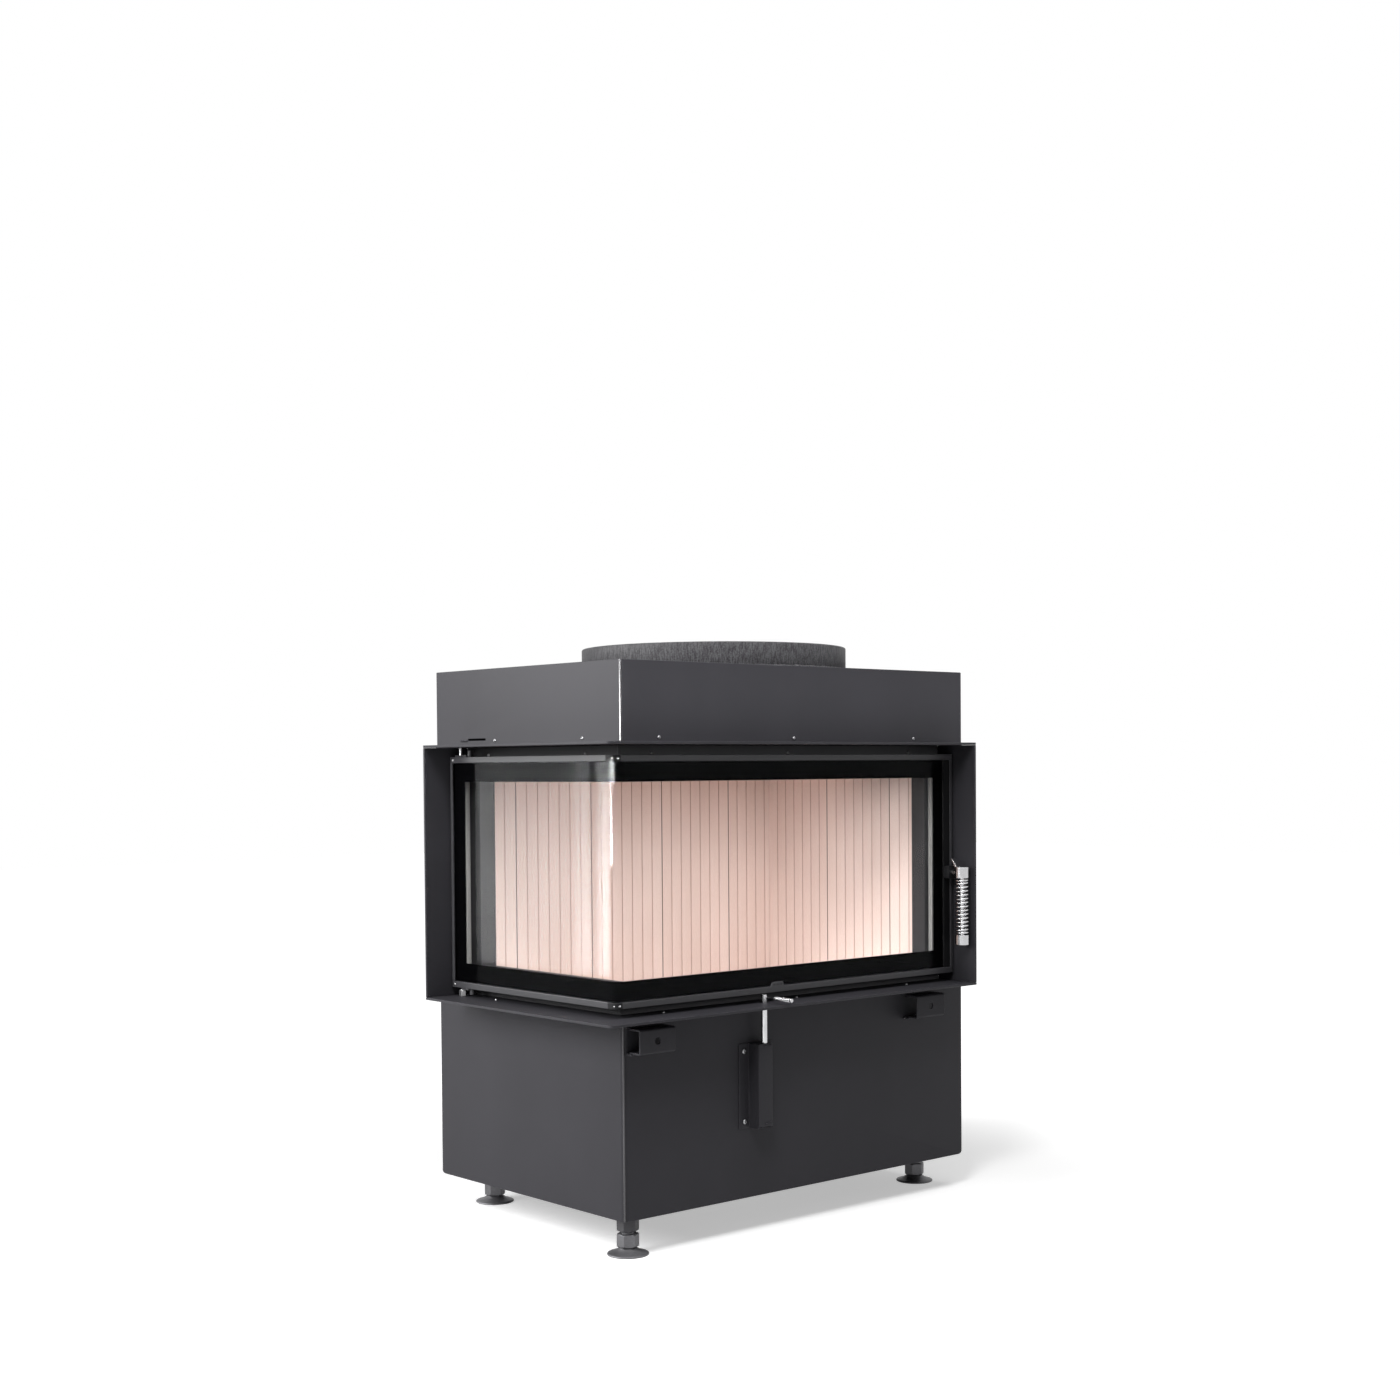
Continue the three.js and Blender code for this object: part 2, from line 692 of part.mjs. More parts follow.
// Hood, collar and the plate that turns the smoke below the collar.
function makeHood() {
  const bore = collarRadius - collarWall - collarLedge;
  const slotZ = hoodBottom + hoodSlotRise;
  const hood = upright(casingPlan(0, hoodBend), hoodBottom, hoodTop)
    .subtract(upright(casingPlan(casingSheet, hoodBend), hoodBottom - past, hoodTop - casingSheet))
    .subtract(rod(bore, collarX, collarY, hoodTop - casingSheet - past, hoodTop + past, 64))
    .subtract(block(-past, casingSheet + past, hoodSlotY - hoodSlotLength / 2,
      hoodSlotY + hoodSlotLength / 2, slotZ, slotZ + hoodSlotHeight));
  add(insert, 'hood_casing', hood, blackPaint());

  const inner = collarRadius - collarWall;
  const edge = collarEdge * (1 - Math.SQRT1_2);
  const collar = turned([
    [inner, 0], [collarRadius, 0], [collarRadius, collarHeight - collarEdge],
    [collarRadius - edge, collarHeight - edge], [collarRadius - collarEdge, collarHeight],
    [inner, collarHeight],
  ], 80);
  add(insert, 'flue_collar', collar, greyPaint(), collarX, collarY, collarBottom);

  const legs = [45, 135, 225, 315].map((degrees) => {
    const angle = THREE.MathUtils.degToRad(degrees);
    const x = deflectorLegCircle * Math.cos(angle);
    const y = deflectorLegCircle * Math.sin(angle);
    const foot = block(x - deflectorLeg, x + deflectorLeg, y - deflectorLeg / 2, y + deflectorLeg / 2,
      0, deflectorHeight + deflectorThickness);
    const arm = new THREE.BoxGeometry(deflectorLegCircle, deflectorLeg, deflectorThickness)
      .translate(deflectorLegCircle / 2, 0, deflectorHeight + deflectorThickness / 2).rotateZ(angle);
    return foot.add(toSolid(arm));
  });
  const deflector = join(
    rod(deflectorRadius, 0, 0, deflectorHeight, deflectorHeight + deflectorThickness, 48), ...legs);
  add(insert, 'smoke_deflector', deflector, bareSteel(), collarX, collarY, roofTop + seat);
}

// Door. Every piece follows the same two outer faces at its own depth.
function makeDoor() {
  const bore = (z0, z1) => rod(pinRadius + seat, hingeX, hingeY, z0, z1);
  const backX = doorX + doorDepth;
  const backY = doorY + doorDepth;

  for (const [level, z0, z1] of [['bottom', doorBottom, doorBottom + railHeight],
    ['top', doorTop - railHeight, doorTop]]) {
    const leftPlan = outline([
      [doorX, railStartY], [backX, railStartY], [backX, doorEndY - tailChamferY],
      [backX - tailChamferX, doorEndY], [doorX, doorEndY]]);
    add(insert, `door_rail_left_${level}`, upright(leftPlan, z0, z1).subtract(bore(z0 - past, z1 + past)),
      bareSteel());
    const frontPlan = outline([
      [railStartX, doorY], [doorEndX, doorY], [doorEndX, backY], [backX + seat, backY],
      [backX + seat, railStartY - seat], [railStartX, railStartY - seat]]);
    let front = upright(frontPlan, z0, z1);
    if (level === 'bottom') {
      const tab = outline([
        [tabX - tabWidth / 2, z1 - past], [tabX + tabWidth / 2, z1 - past],
        [tabX + tabTopWidth / 2, z1 + tabHeight, tabRound],
        [tabX - tabTopWidth / 2, z1 + tabHeight, tabRound]]);
      front = front.add(alongY(tab, doorY, doorY + tabThickness));
    }
    add(insert, `door_rail_front_${level}`, front, bareSteel());
    const clipPlan = outline([
      [doorX, doorY, clipRound], [railStartX - seat, doorY], [railStartX - seat, railStartY - seat],
      [doorX, railStartY - seat]]);
    add(insert, `door_corner_clip_${level}`, upright(clipPlan, z0, z1), blackPaint());
  }

  // bent glass between the rails
  const stripY = doorEndY - edgeStrip - seat;
  const stripX = doorEndX - edgeStrip - seat;
  const pane = upright(cornerPlan(doorX + glassInset, doorY + glassInset, glassEndX, stripY,
    glassThickness, glassBend), glassBottom, glassTop);
  add(insert, 'door_glass', pane, glass());

  // frame behind the glass, with a post at each end
  const frameX = doorX + frameInset;
  const frameY = doorY + frameInset;
  const frameDepth = doorDepth - frameInset;
  const stripPlan = outline([
    [frameX, frameY, glassBend - frameInset + glassInset], [stripX, frameY], [stripX, backY],
    [backX, backY], [backX, doorEndY - tailChamferY], [backX - tailChamferX, stripY], [frameX, stripY]]);
  const leftPost = outline([
    [frameX, framePostY], [backX - tailChamferX, framePostY + framePostSlant],
    [backX - tailChamferX, stripY], [frameX, stripY]]);
  const rightPost = outline([
    [framePostX, frameY], [glassEndX + seat, frameY], [glassEndX + seat, doorY + glassInset],
    [stripX, doorY + glassInset], [stripX, backY], [framePostX + frameDepth, backY]]);
  const frame = join(
    upright(stripPlan, glassBottom, glassBottom + frameLow),
    upright(stripPlan, glassTop - frameHigh, glassTop),
    upright(leftPost, glassBottom, glassTop),
    upright(rightPost, glassBottom, glassTop))
    .subtract(bore(glassBottom - past, glassBottom + pinReach))
    .subtract(bore(glassTop - pinReach, glassTop + past))
    .subtract(rodAlongY(axleRadius + seat, handleX, handlePivotZ, doorY, backY + past));
  add(insert, 'door_frame', frame, blackPaint());

  // angles over the two ends of the glass
  const leftAngle = outline([
    [doorX, doorEndY - edgeStripCover], [doorX + edgeStrip, doorEndY - edgeStripCover],
    [doorX + edgeStrip, doorEndY - edgeStrip], [backX - tailChamferX, doorEndY - edgeStrip],
    [backX - tailChamferX, doorEndY], [doorX, doorEndY]]);
  add(insert, 'door_edge_left', upright(leftAngle, glassBottom, glassTop), bareSteel());
  const rightAngle = outline([
    [doorEndX - edgeStripCover, doorY], [doorEndX, doorY], [doorEndX, backY],
    [doorEndX - edgeStrip, backY], [doorEndX - edgeStrip, doorY + edgeStrip],
    [doorEndX - edgeStripCover, doorY + edgeStrip]]);
  add(insert, 'door_edge_right', upright(rightAngle, glassBottom, glassTop), bareSteel());
}

// Hinge: a pin under the upper flange, an adjusting bush with a pin on the lower flange,
// a lug on each left rail and a short stud beside it.
function makeHinge() {
  const topPin = rod(pinRadius, hingeX, hingeY, doorTop - railHeight + seat, roofBottom - seat);
  add(insert, 'hinge_pin_top', topPin, brightSteel());
  const bushBottom = deckTop + seat;
  const bushTop = bushBottom + bushHeight;
  const bottomPin = rod(bushRadius, hingeX, hingeY, bushBottom, bushTop - bushDome, hexSides)
    .add(rod(bushDomeRadius, hingeX, hingeY, bushBottom, bushTop, 18))
    .add(rod(pinRadius, hingeX, hingeY, bushBottom, doorBottom + railHeight - seat));
  add(insert, 'hinge_bush_bottom', bottomPin, brightSteel());

  const lugStart = hingeY - lugLength + lugWidth / 2;
  const lugPlan = outline([
    [hingeX - lugWidth / 2, lugStart, lugStartRound], [hingeX + lugWidth / 2, lugStart, lugStartRound],
    [hingeX + lugWidth / 2, hingeY + lugWidth / 2, lugEndRound],
    [hingeX - lugWidth / 2, hingeY + lugWidth / 2, lugEndRound]]);
  const topLug = doorTop + seat;
  const bottomLug = doorBottom - seat - lugThickness;
  const studY = hingeY - studOffset;
  const upperLug = upright(lugPlan, topLug, topLug + lugThickness)
    .subtract(rod(pinRadius + seat, hingeX, hingeY, topLug - past, topLug + lugThickness + past))
    .add(rod(studRadius, hingeX, studY, topLug, topLug + studHeight));
  add(insert, 'hinge_lug_top', upperLug, bareSteel());
  const lowerStudRoom = doorGapLow - seat - running;
  const lugEnd = hingeY - bushRadius - running;
  const lowerLug = upright(outline([
    [hingeX - lugWidth / 2, lugStart, lugStartRound], [hingeX + lugWidth / 2, lugStart, lugStartRound],
    [hingeX + lugWidth / 2, lugEnd], [hingeX - lugWidth / 2, lugEnd]]),
  bottomLug, bottomLug + lugThickness)
    .add(rod(studRadius, hingeX, studY, doorBottom - seat - Math.min(studHeight, lowerStudRoom),
      doorBottom - seat));
  add(insert, 'hinge_lug_bottom', lowerLug, bareSteel());
}

// Handle: it hangs from an axle through the door's right post and lifts sideways.
function makeHandle() {
  const handle = new THREE.Group();
  handle.position.set(handleX, handleY, handlePivotZ);
  insert.add(handle);

  const faceY = doorY - handleY;              // door face, seen from the handle
  const capBack = capRadius;
  const capTop = capHeight / 2;
  const coilTop = -capTop;
  const coilBottom = coilTop - coilLength;
  const rodBottom = coilBottom - lowerCapHeight;

  const half = handleBlock / 2;
  const bracketPlan = outline([
    [-half, -half, handleBlockRound], [half, -half, handleBlockRound],
    [half, half, handleBlockRound], [-half, half, handleBlockRound]]);
  const bracketFront = capBack + hubLength + running;
  const bracket = alongY(bracketPlan, bracketFront, faceY - seat)
    .subtract(rodAlongY(axleRadius + seat, 0, 0, bracketFront - past, faceY + past));
  add(handle, 'handle_bracket', bracket, blackPaint());

  const latchBack = doorDepth + faceY + running;
  const tongueStart = capBack - tongueRoot;
  const tongue = outline([
    [tongueStart, capTop - past], [tongueStart + 2 * tongueThickness, capTop - past],
    [capBack + tongueRun, capTop + tongueRise],
    [capBack + tongueRun - tongueThickness, capTop + tongueRise + past]]);
  const axleSolid = join(
    alongX(tongue, -tongueWidth, 0),
    rodAlongY(axleRadius, 0, 0, capBack - hubRoot, latchBack + latchThickness),
    rodAlongY(hubRadius, 0, 0, capBack - hubRoot, capBack + hubLength),
    rod(capRadius, 0, 0, -capTop, capTop, 32),
    rod(rodRadius, 0, 0, rodBottom, 0, 16),
    rod(capRadius, 0, 0, rodBottom, coilBottom, 32),
    block(-latchHeight / 2, latchLength, latchBack, latchBack + latchThickness,
      -latchHeight / 2, latchHeight / 2));
  add(handle, 'handle_lever', axleSolid, brightSteel());

  const coil = woundWire('handle_coil', coilRadius, coilWire, coilTurns,
    coilBottom + running, coilTop - running);
  add(handle, 'handle_coil', coil, brightSteel());
}

// Air control: an upright shaft with a coil-gripped lever on top and a crank below, which
// moves a ported slide on the air box.
function makeAirControl() {
  const control = new THREE.Group();
  control.position.set(shaftX, shaftY, 0);
  insert.add(control);

  const shaftTop = doorBottom - shaftHeadroom;
  const crankTop = crankZ + crankThickness;
  const slideBottom = crankZ - crankRoom - slideThickness;
  const shaft = join(
    rod(shaftRadius, 0, 0, crankZ, shaftTop),
    block(-crankHalfWidth, crankHalfWidth, 0, crankRadius, crankZ, crankTop),
    rod(crankPinRadius, 0, crankRadius, slideBottom + running, crankTop),
    rodAlongY(leverRod, 0, leverZ, -leverGripStart - leverGripLength, 0, 12),
    rodAlongY(gripRadius + gripWire, 0, leverZ, -leverGripStart, -leverGripStart + gripCollar, 16),
    rodAlongY(gripRadius + gripWire, 0, leverZ, -leverGripStart - leverGripLength,
      -leverGripStart - leverGripLength + gripCollar, 16));
  add(control, 'air_shaft', shaft, brightSteel());

  const grip = woundWire('air_lever_coil', gripRadius, gripWire, gripTurns,
    running, leverGripLength - 2 * gripCollar - running);
  const gripMesh = add(control, 'air_lever_coil', grip, brightSteel(), 0, -leverGripStart, leverZ);
  gripMesh.rotation.x = Math.PI / 2;

  // channel that covers the shaft on the base
  const t = channelSheet;
  const x0 = channelLeft;
  const x1 = channelLeft + channelWidth;
  const channelPlan = outline([
    [x0 - channelFlange, -seat], [x0 - channelFlange, -seat - t], [x0, -seat - t],
    [x0, -channelDepth, channelBend], [x1, -channelDepth, channelBend], [x1, -seat - t],
    [x1 + channelFlange, -seat - t], [x1 + channelFlange, -seat], [x1 - t, -seat],
    [x1 - t, t - channelDepth], [x0 + t, t - channelDepth], [x0 + t, -seat]]);
  const endPlan = outline([
    [x0 + t / 2, -seat - t], [x0 + t / 2, t / 2 - channelDepth],
    [x1 - t / 2, t / 2 - channelDepth], [x1 - t / 2, -seat - t]]);
  const sideView = outline([
    [-channelDepth - past, channelLow, channelRound], [past, channelLow], [past, channelHigh],
    [-channelDepth - past, channelHigh]]);
  const channel = join(
    upright(channelPlan, channelLow, channelHigh),
    upright(endPlan, channelLow, channelLow + t),
    upright(endPlan, channelHigh - t, channelHigh))
    .intersect(alongX(sideView, x0 - channelFlange - past, x1 + channelFlange + past))
    .subtract(rod(shaftRadius + seat, shaftX, shaftY, channelHigh - t - past, channelHigh + past));
  add(insert, 'air_channel', channel, blackPaint());

  // air box on the base floor, with ports in its top
  const floorTop = footHeight + casingSheet;
  const boxBottom = floorTop + seat;
  const boxTop = slideBottom - seat;
  const boxFront = casingSheet + running;
  const boxRight = airBoxLeft + airBoxWidth;
  const boxBack = boxFront + airBoxDepth;
  const s = airBoxSheet;
  const slideFront = boxFront + s + running;
  const portFront = slideFront + portInset;
  let airBox = block(airBoxLeft, boxRight, boxFront, boxBack, boxBottom, boxTop)
    .subtract(block(airBoxLeft + s, boxRight - s, boxFront + s, boxBack - s, boxBottom - past,
      boxTop - s))
    .add(block(airBoxLeft, boxRight, slideFront + slideDepth + running,
      slideFront + slideDepth + running + s, boxTop - s, boxTop + guideHeight));
  const slideSheet = outline([
    [slideLeft, slideFront], [shaftX - forkWidth / 2, slideFront],
    [shaftX - forkWidth / 2, slideFront + forkDepth], [shaftX + forkWidth / 2, slideFront + forkDepth],
    [shaftX + forkWidth / 2, slideFront], [slideLeft + slideWidth, slideFront],
    [slideLeft + slideWidth, slideFront + slideDepth], [slideLeft, slideFront + slideDepth]]);
  let slide = upright(slideSheet, slideBottom, slideBottom + slideThickness);
  for (let i = 0; i < portCount; i++) {
    const middle = shaftX + portOffset + i * portPitch;
    const port = (shift) => block(middle + shift - portWidth / 2, middle + shift + portWidth / 2,
      portFront, portFront + portDepth, boxTop - s - past, slideBottom + slideThickness + past);
    airBox = airBox.subtract(port(0));
    slide = slide.subtract(port(portWidth / 2));
  }
  add(insert, 'air_box', airBox, bareSteel());
  add(insert, 'air_slide', slide, bareSteel());

  // inlet spigot that hangs in the base floor by its rim
  const rimTop = boxBottom + spigotRimHeight;
  const spigot = turned([
    [spigotRadius - spigotWall, footHeight - spigotDrop], [spigotRadius, footHeight - spigotDrop],
    [spigotRadius, boxBottom], [spigotRadius + spigotRim, boxBottom],
    [spigotRadius + spigotRim, rimTop], [spigotRadius - spigotWall, rimTop]], 48);
  add(insert, 'air_spigot', spigot, bareSteel(), spigotX, spigotY);
}

// Two U-shaped brackets welded on the base front, open towards both sides.
function makeBrackets() {
  [bracketFromLeft, bodyWidth - bracketFromRight].forEach((centre, i) => {
    const bracket = new THREE.Group();
    bracket.position.set(centre, -seat, baseTop - bracketDrop - bracketHeight);
    insert.add(bracket);
    const t = bracketSheet;
    const profile = outline([
      [0, 0], [-bracketDepth, 0, bracketBend], [-bracketDepth, bracketHeight, bracketBend],
      [0, bracketHeight], [0, bracketHeight - t], [t - bracketDepth, bracketHeight - t],
      [t - bracketDepth, t], [0, t]]);
    const hook = alongX(profile, -bracketWidth / 2, bracketWidth / 2)
      .subtract(rodAlongY(bracketHole, 0, bracketHeight / 2, -bracketDepth - past,
        t + past - bracketDepth));
    add(bracket, `front_bracket_${i + 1}`, hook, blackPaint());
  });
}

// Levelling feet: a dished pad, a stud with a wrench hexagon, and a boss under the base.
function hexagon(z0, z1) {
  const radius = hexFlats / Math.sqrt(3);
  const cone = turned([
    [0, z0], [radius - hexChamfer, z0], [radius + hexCornerRoom, z0 + hexChamfer],
    [radius + hexCornerRoom, z1 - hexChamfer], [radius - hexChamfer, z1], [0, z1]], 24);
  return rod(radius, 0, 0, z0, z1, hexSides).intersect(cone);
}

function makeFeet() {
  for (const [place, x, y] of footPlaces) {
    const foot = new THREE.Group();
    foot.position.set(x, y, 0);
    insert.add(foot);
    const pad = turned([
      [0, 0], [padRadius, 0], [padRadius, padRim], [padShoulder, padRim + padShoulderRise],
      [padNeck, padHeight], [0, padHeight]], 32);
    add(foot, `foot_pad_${place}`, pad, bareSteel());
    const hexBottom = padHeight + seat;
    const studTop = footHeight + studIntoBase;
    const stud = hexagon(hexBottom, hexBottom + hexHeight)
      .add(rod(studRodRadius, 0, 0, hexBottom + past, studTop));
    add(foot, `foot_stud_${place}`, stud, bareSteel());
    const boss = hexagon(footHeight - seat - bossHeight, footHeight - seat)
      .subtract(rod(studRodRadius + seat, 0, 0, 0, footHeight + past));
    add(foot, `foot_boss_${place}`, boss, greyPaint());
  }
}

makeBase();
makeFlanges();
makeSurround();
makeShell();
makeLining();
makeJacket();
makeHood();
makeDoor();
makeHinge();
makeHandle();
makeAirControl();
makeBrackets();
makeFeet();

// The reference point is under the middle of the whole object, on the floor.
const extent = new THREE.Box3().setFromObject(insert);
const middle = extent.getCenter(new THREE.Vector3());
insert.position.set(-middle.x, -middle.y, 0);

const fireplaceInsert = new THREE.Group();
fireplaceInsert.add(insert);
export default fireplaceInsert;
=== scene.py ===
import json
import math

import bmesh
import bpy
from mathutils import Matrix, Vector

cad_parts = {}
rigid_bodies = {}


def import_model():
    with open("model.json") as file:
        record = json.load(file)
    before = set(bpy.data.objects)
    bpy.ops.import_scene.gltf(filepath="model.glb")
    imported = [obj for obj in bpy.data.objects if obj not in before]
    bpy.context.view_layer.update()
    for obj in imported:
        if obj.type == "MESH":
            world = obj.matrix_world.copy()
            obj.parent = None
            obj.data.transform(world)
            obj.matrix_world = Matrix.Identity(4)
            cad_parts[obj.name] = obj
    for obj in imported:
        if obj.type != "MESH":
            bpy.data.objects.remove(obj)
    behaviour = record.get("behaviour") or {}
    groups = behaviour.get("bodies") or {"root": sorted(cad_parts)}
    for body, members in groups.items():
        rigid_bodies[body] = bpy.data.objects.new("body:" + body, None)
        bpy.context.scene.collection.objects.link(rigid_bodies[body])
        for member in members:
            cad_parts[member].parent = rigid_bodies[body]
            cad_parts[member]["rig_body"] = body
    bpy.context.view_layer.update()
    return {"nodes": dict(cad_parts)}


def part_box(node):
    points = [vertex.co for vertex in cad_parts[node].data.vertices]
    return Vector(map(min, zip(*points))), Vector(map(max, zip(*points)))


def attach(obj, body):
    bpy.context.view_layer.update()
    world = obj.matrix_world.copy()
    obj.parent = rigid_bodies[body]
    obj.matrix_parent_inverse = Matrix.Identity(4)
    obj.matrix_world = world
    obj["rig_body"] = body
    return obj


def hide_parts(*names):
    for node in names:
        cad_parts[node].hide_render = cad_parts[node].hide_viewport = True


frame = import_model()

# ---------------------------------------------------------------- levelling feet
# Four pressed steel pads under M20 studs with a wrench hexagon, screwed into bosses that are
# welded under the base. Bare turned steel, dulled to a mid grey; the bosses are painted.
scene = bpy.context.scene
nodes = frame["nodes"]
corner = Vector((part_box("base_casing")[0].x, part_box("base_casing")[0].y, 0))


def at(x, y, z):
    """A point given in mm from the near vertical corner of the body, at a height over the floor."""
    return corner + Vector((x, y, z)) / 1000


class Signal:
    """An output socket of a node tree, which can be added, multiplied and compared."""

    def __init__(self, tree, socket=None):
        self.tree = tree
        self.socket = socket

    def node(self, kind, settings=None, inputs=None, output=0):
        """Adds a node: its settings first, then its input values and links."""
        made = self.tree.nodes.new(kind)
        for key, value in (settings or {}).items():
            setattr(made, key, value)
        for key, value in (inputs or {}).items():
            if isinstance(value, Signal):
                self.tree.links.new(value.socket, made.inputs[key])
            else:
                made.inputs[key].default_value = value
        return Signal(self.tree, made.outputs[output])

    def maths(self, operation, *values):
        return self.node("ShaderNodeMath", {"operation": operation}, dict(enumerate(values)))

    def __add__(self, other):
        return self.maths("ADD", self, other)

    def __sub__(self, other):
        return self.maths("SUBTRACT", self, other)

    def __rsub__(self, other):
        return self.maths("SUBTRACT", other, self)

    def __mul__(self, other):
        return self.maths("MULTIPLY", self, other)

    __radd__ = __add__
    __rmul__ = __mul__

    def between(self, low, high):
        """0 under low, 1 over high, and a smooth step between them."""
        return self.node("ShaderNodeMapRange", {"interpolation_type": "SMOOTHSTEP"},
                         {"Value": self, "From Min": low, "From Max": high})

    def tint(self, low, high):
        """One colour where this mask is 0 and another where it is 1."""
        return self.node("ShaderNodeMix", {"data_type": "RGBA"},
                         {"Factor": self, 6: low, 7: high}, 2)

    def noise(self, scale, detail=2, stretch=(1, 1, 1)):
        """Noise at this place, in waves per metre."""
        vector = self.node("ShaderNodeVectorMath", {"operation": "MULTIPLY"}, {0: self, 1: stretch})
        return self.node("ShaderNodeTexNoise", {}, {"Vector": vector, "Scale": scale, "Detail": detail})

    def axis(self, name):
        return self.node("ShaderNodeSeparateXYZ", {}, {0: self}, name)

    def bump(self, distance, strength=1):
        """The normal that this height gives, in metres."""
        return self.node("ShaderNodeBump", {}, {"Height": self, "Distance": distance,
                                                "Strength": strength})


def surface(name, even, varying):
    """A material: even numbers on the shader, and signals of the place on the piece."""
    material = bpy.data.materials.new(name)
    material.use_nodes = True
    tree = material.node_tree
    shader = tree.nodes["Principled BSDF"]
    for socket, value in even.items():
        shader.inputs[socket].default_value = value
    place = Signal(tree).node("ShaderNodeTexCoord", output="Object")
    for socket, signal in varying(place).items():
        tree.links.new(signal.socket, shader.inputs[socket])
    return material


def shade(colour, factor):
    return (*(min(c * factor, 1) for c in colour), 1)


def steel(name, colour, rough, brush=(1, 1, 1), grain=500, spread=0.3, metallic=1):
    """Bare metal with brushed or turned marks along one direction."""
    def varying(place):
        marks = place.noise(grain, 3, brush)
        cloud = place.noise(14, 3)
        worn = cloud * 0.6 + marks * 0.4
        return {
            "Base Color": worn.between(0.3, 0.7).tint(shade(colour, 1 - spread), shade(colour, 1 + spread)),
            "Roughness": marks * 0.12 + (cloud * 0.14 + (rough - 0.13)),
            "Normal": marks.bump(0.00005),
        }
    return surface(name, {"Metallic": metallic}, varying)


def painted(name, colour, rough=0.5, gloss=0.25, flecks=0.1):
    """Heat-proof paint: a fine powdery grain, faint clouds, and a painted highlight along the edges, broken
    up by noise.
    """
    def varying(place):
        grain = place.noise(1100, 2)
        cloud = place.noise(5, 4)
        streak = place.noise(9, 2, (1, 1, 0.25))
        soft = place.node("ShaderNodeBevel", {"samples": 4}, {"Radius": 0.0016})
        flat = place.node("ShaderNodeNewGeometry", output="Normal")
        bend = 1 - place.node("ShaderNodeVectorMath", {"operation": "DOT_PRODUCT"},
                              {0: soft, 1: flat}, "Value")
        # painted highlight: bent edges, broken up by noise, are lightened to four times the paint's colour
        # and made a little glossier
        painted_edge_highlight = bend.between(0.02, 0.3) * place.noise(60, 3).between(0.25, 0.75)
        tone = cloud * 0.5 + streak * 0.3 + grain * 0.2
        plain = tone.between(0.3, 0.7).tint(shade(colour, 1 - flecks), shade(colour, 1 + flecks))
        return {
            "Base Color": (painted_edge_highlight * 0.8).tint(plain, shade(colour, 4)),
            "Roughness": cloud * 0.1 + grain * 0.08 + (rough - 0.09) - painted_edge_highlight * 0.12,
            "Normal": grain.bump(0.00004),
        }
    return surface(name, {"Specular IOR Level": gloss}, varying)


def piece(name, shape, material, body, replaced=(), smooth=35):
    """Links a shape as a piece that rides on a body and may stand for CAD nodes."""
    bmesh.ops.recalc_face_normals(shape, faces=shape.faces)
    mesh = bpy.data.meshes.new(name)
    shape.to_mesh(mesh)
    shape.free()
    mesh.materials.append(material)
    mesh.shade_smooth()
    mesh.set_sharp_from_angle(angle=math.radians(smooth))
    made = bpy.data.objects.new(name, mesh)
    scene.collection.objects.link(made)
    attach(made, body)
    if replaced:
        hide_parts(*replaced)
    return made


def dress(node, material, edge=0.6, smooth=35, steps=2):
    """Stands a copy of a CAD node with clean faces and softened edges in its place."""
    shape = bmesh.new()
    shape.from_mesh(nodes[node].data)
    bmesh.ops.remove_doubles(shape, verts=shape.verts, dist=0.00001)
    bmesh.ops.dissolve_limit(shape, angle_limit=math.radians(0.5), verts=shape.verts,
                             edges=shape.edges)
    made = piece(node + "_finish", shape, material, nodes[node]["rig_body"], [node], smooth)
    if edge:
        bevel = made.modifiers.new("edges", "BEVEL")
        bevel.width = edge / 1000
        bevel.segments = steps
        bevel.limit_method = "ANGLE"
        bevel.angle_limit = math.radians(smooth)
        bevel.use_clamp_overlap = False
        bevel.harden_normals = True
    return made


def turned(shape, centre, profile, steps=96, turn=Matrix()):
    """Adds a closed profile of (radius, height) in mm, turned round Z at a centre."""
    rings = []
    for step in range(steps):
        angle = step / steps * math.tau
        rings.append([shape.verts.new(centre + turn @ Vector(
            (r * math.cos(angle), r * math.sin(angle), z)) / 1000) for r, z in profile])
    count = len(profile)
    for ring, other in zip(rings, rings[1:] + rings[:1]):
        for i in range(count):
            j = (i + 1) % count
            shape.faces.new((ring[i], other[i], other[j], ring[j]))
    bmesh.ops.remove_doubles(shape, verts=shape.verts, dist=0.000001)
    return shape


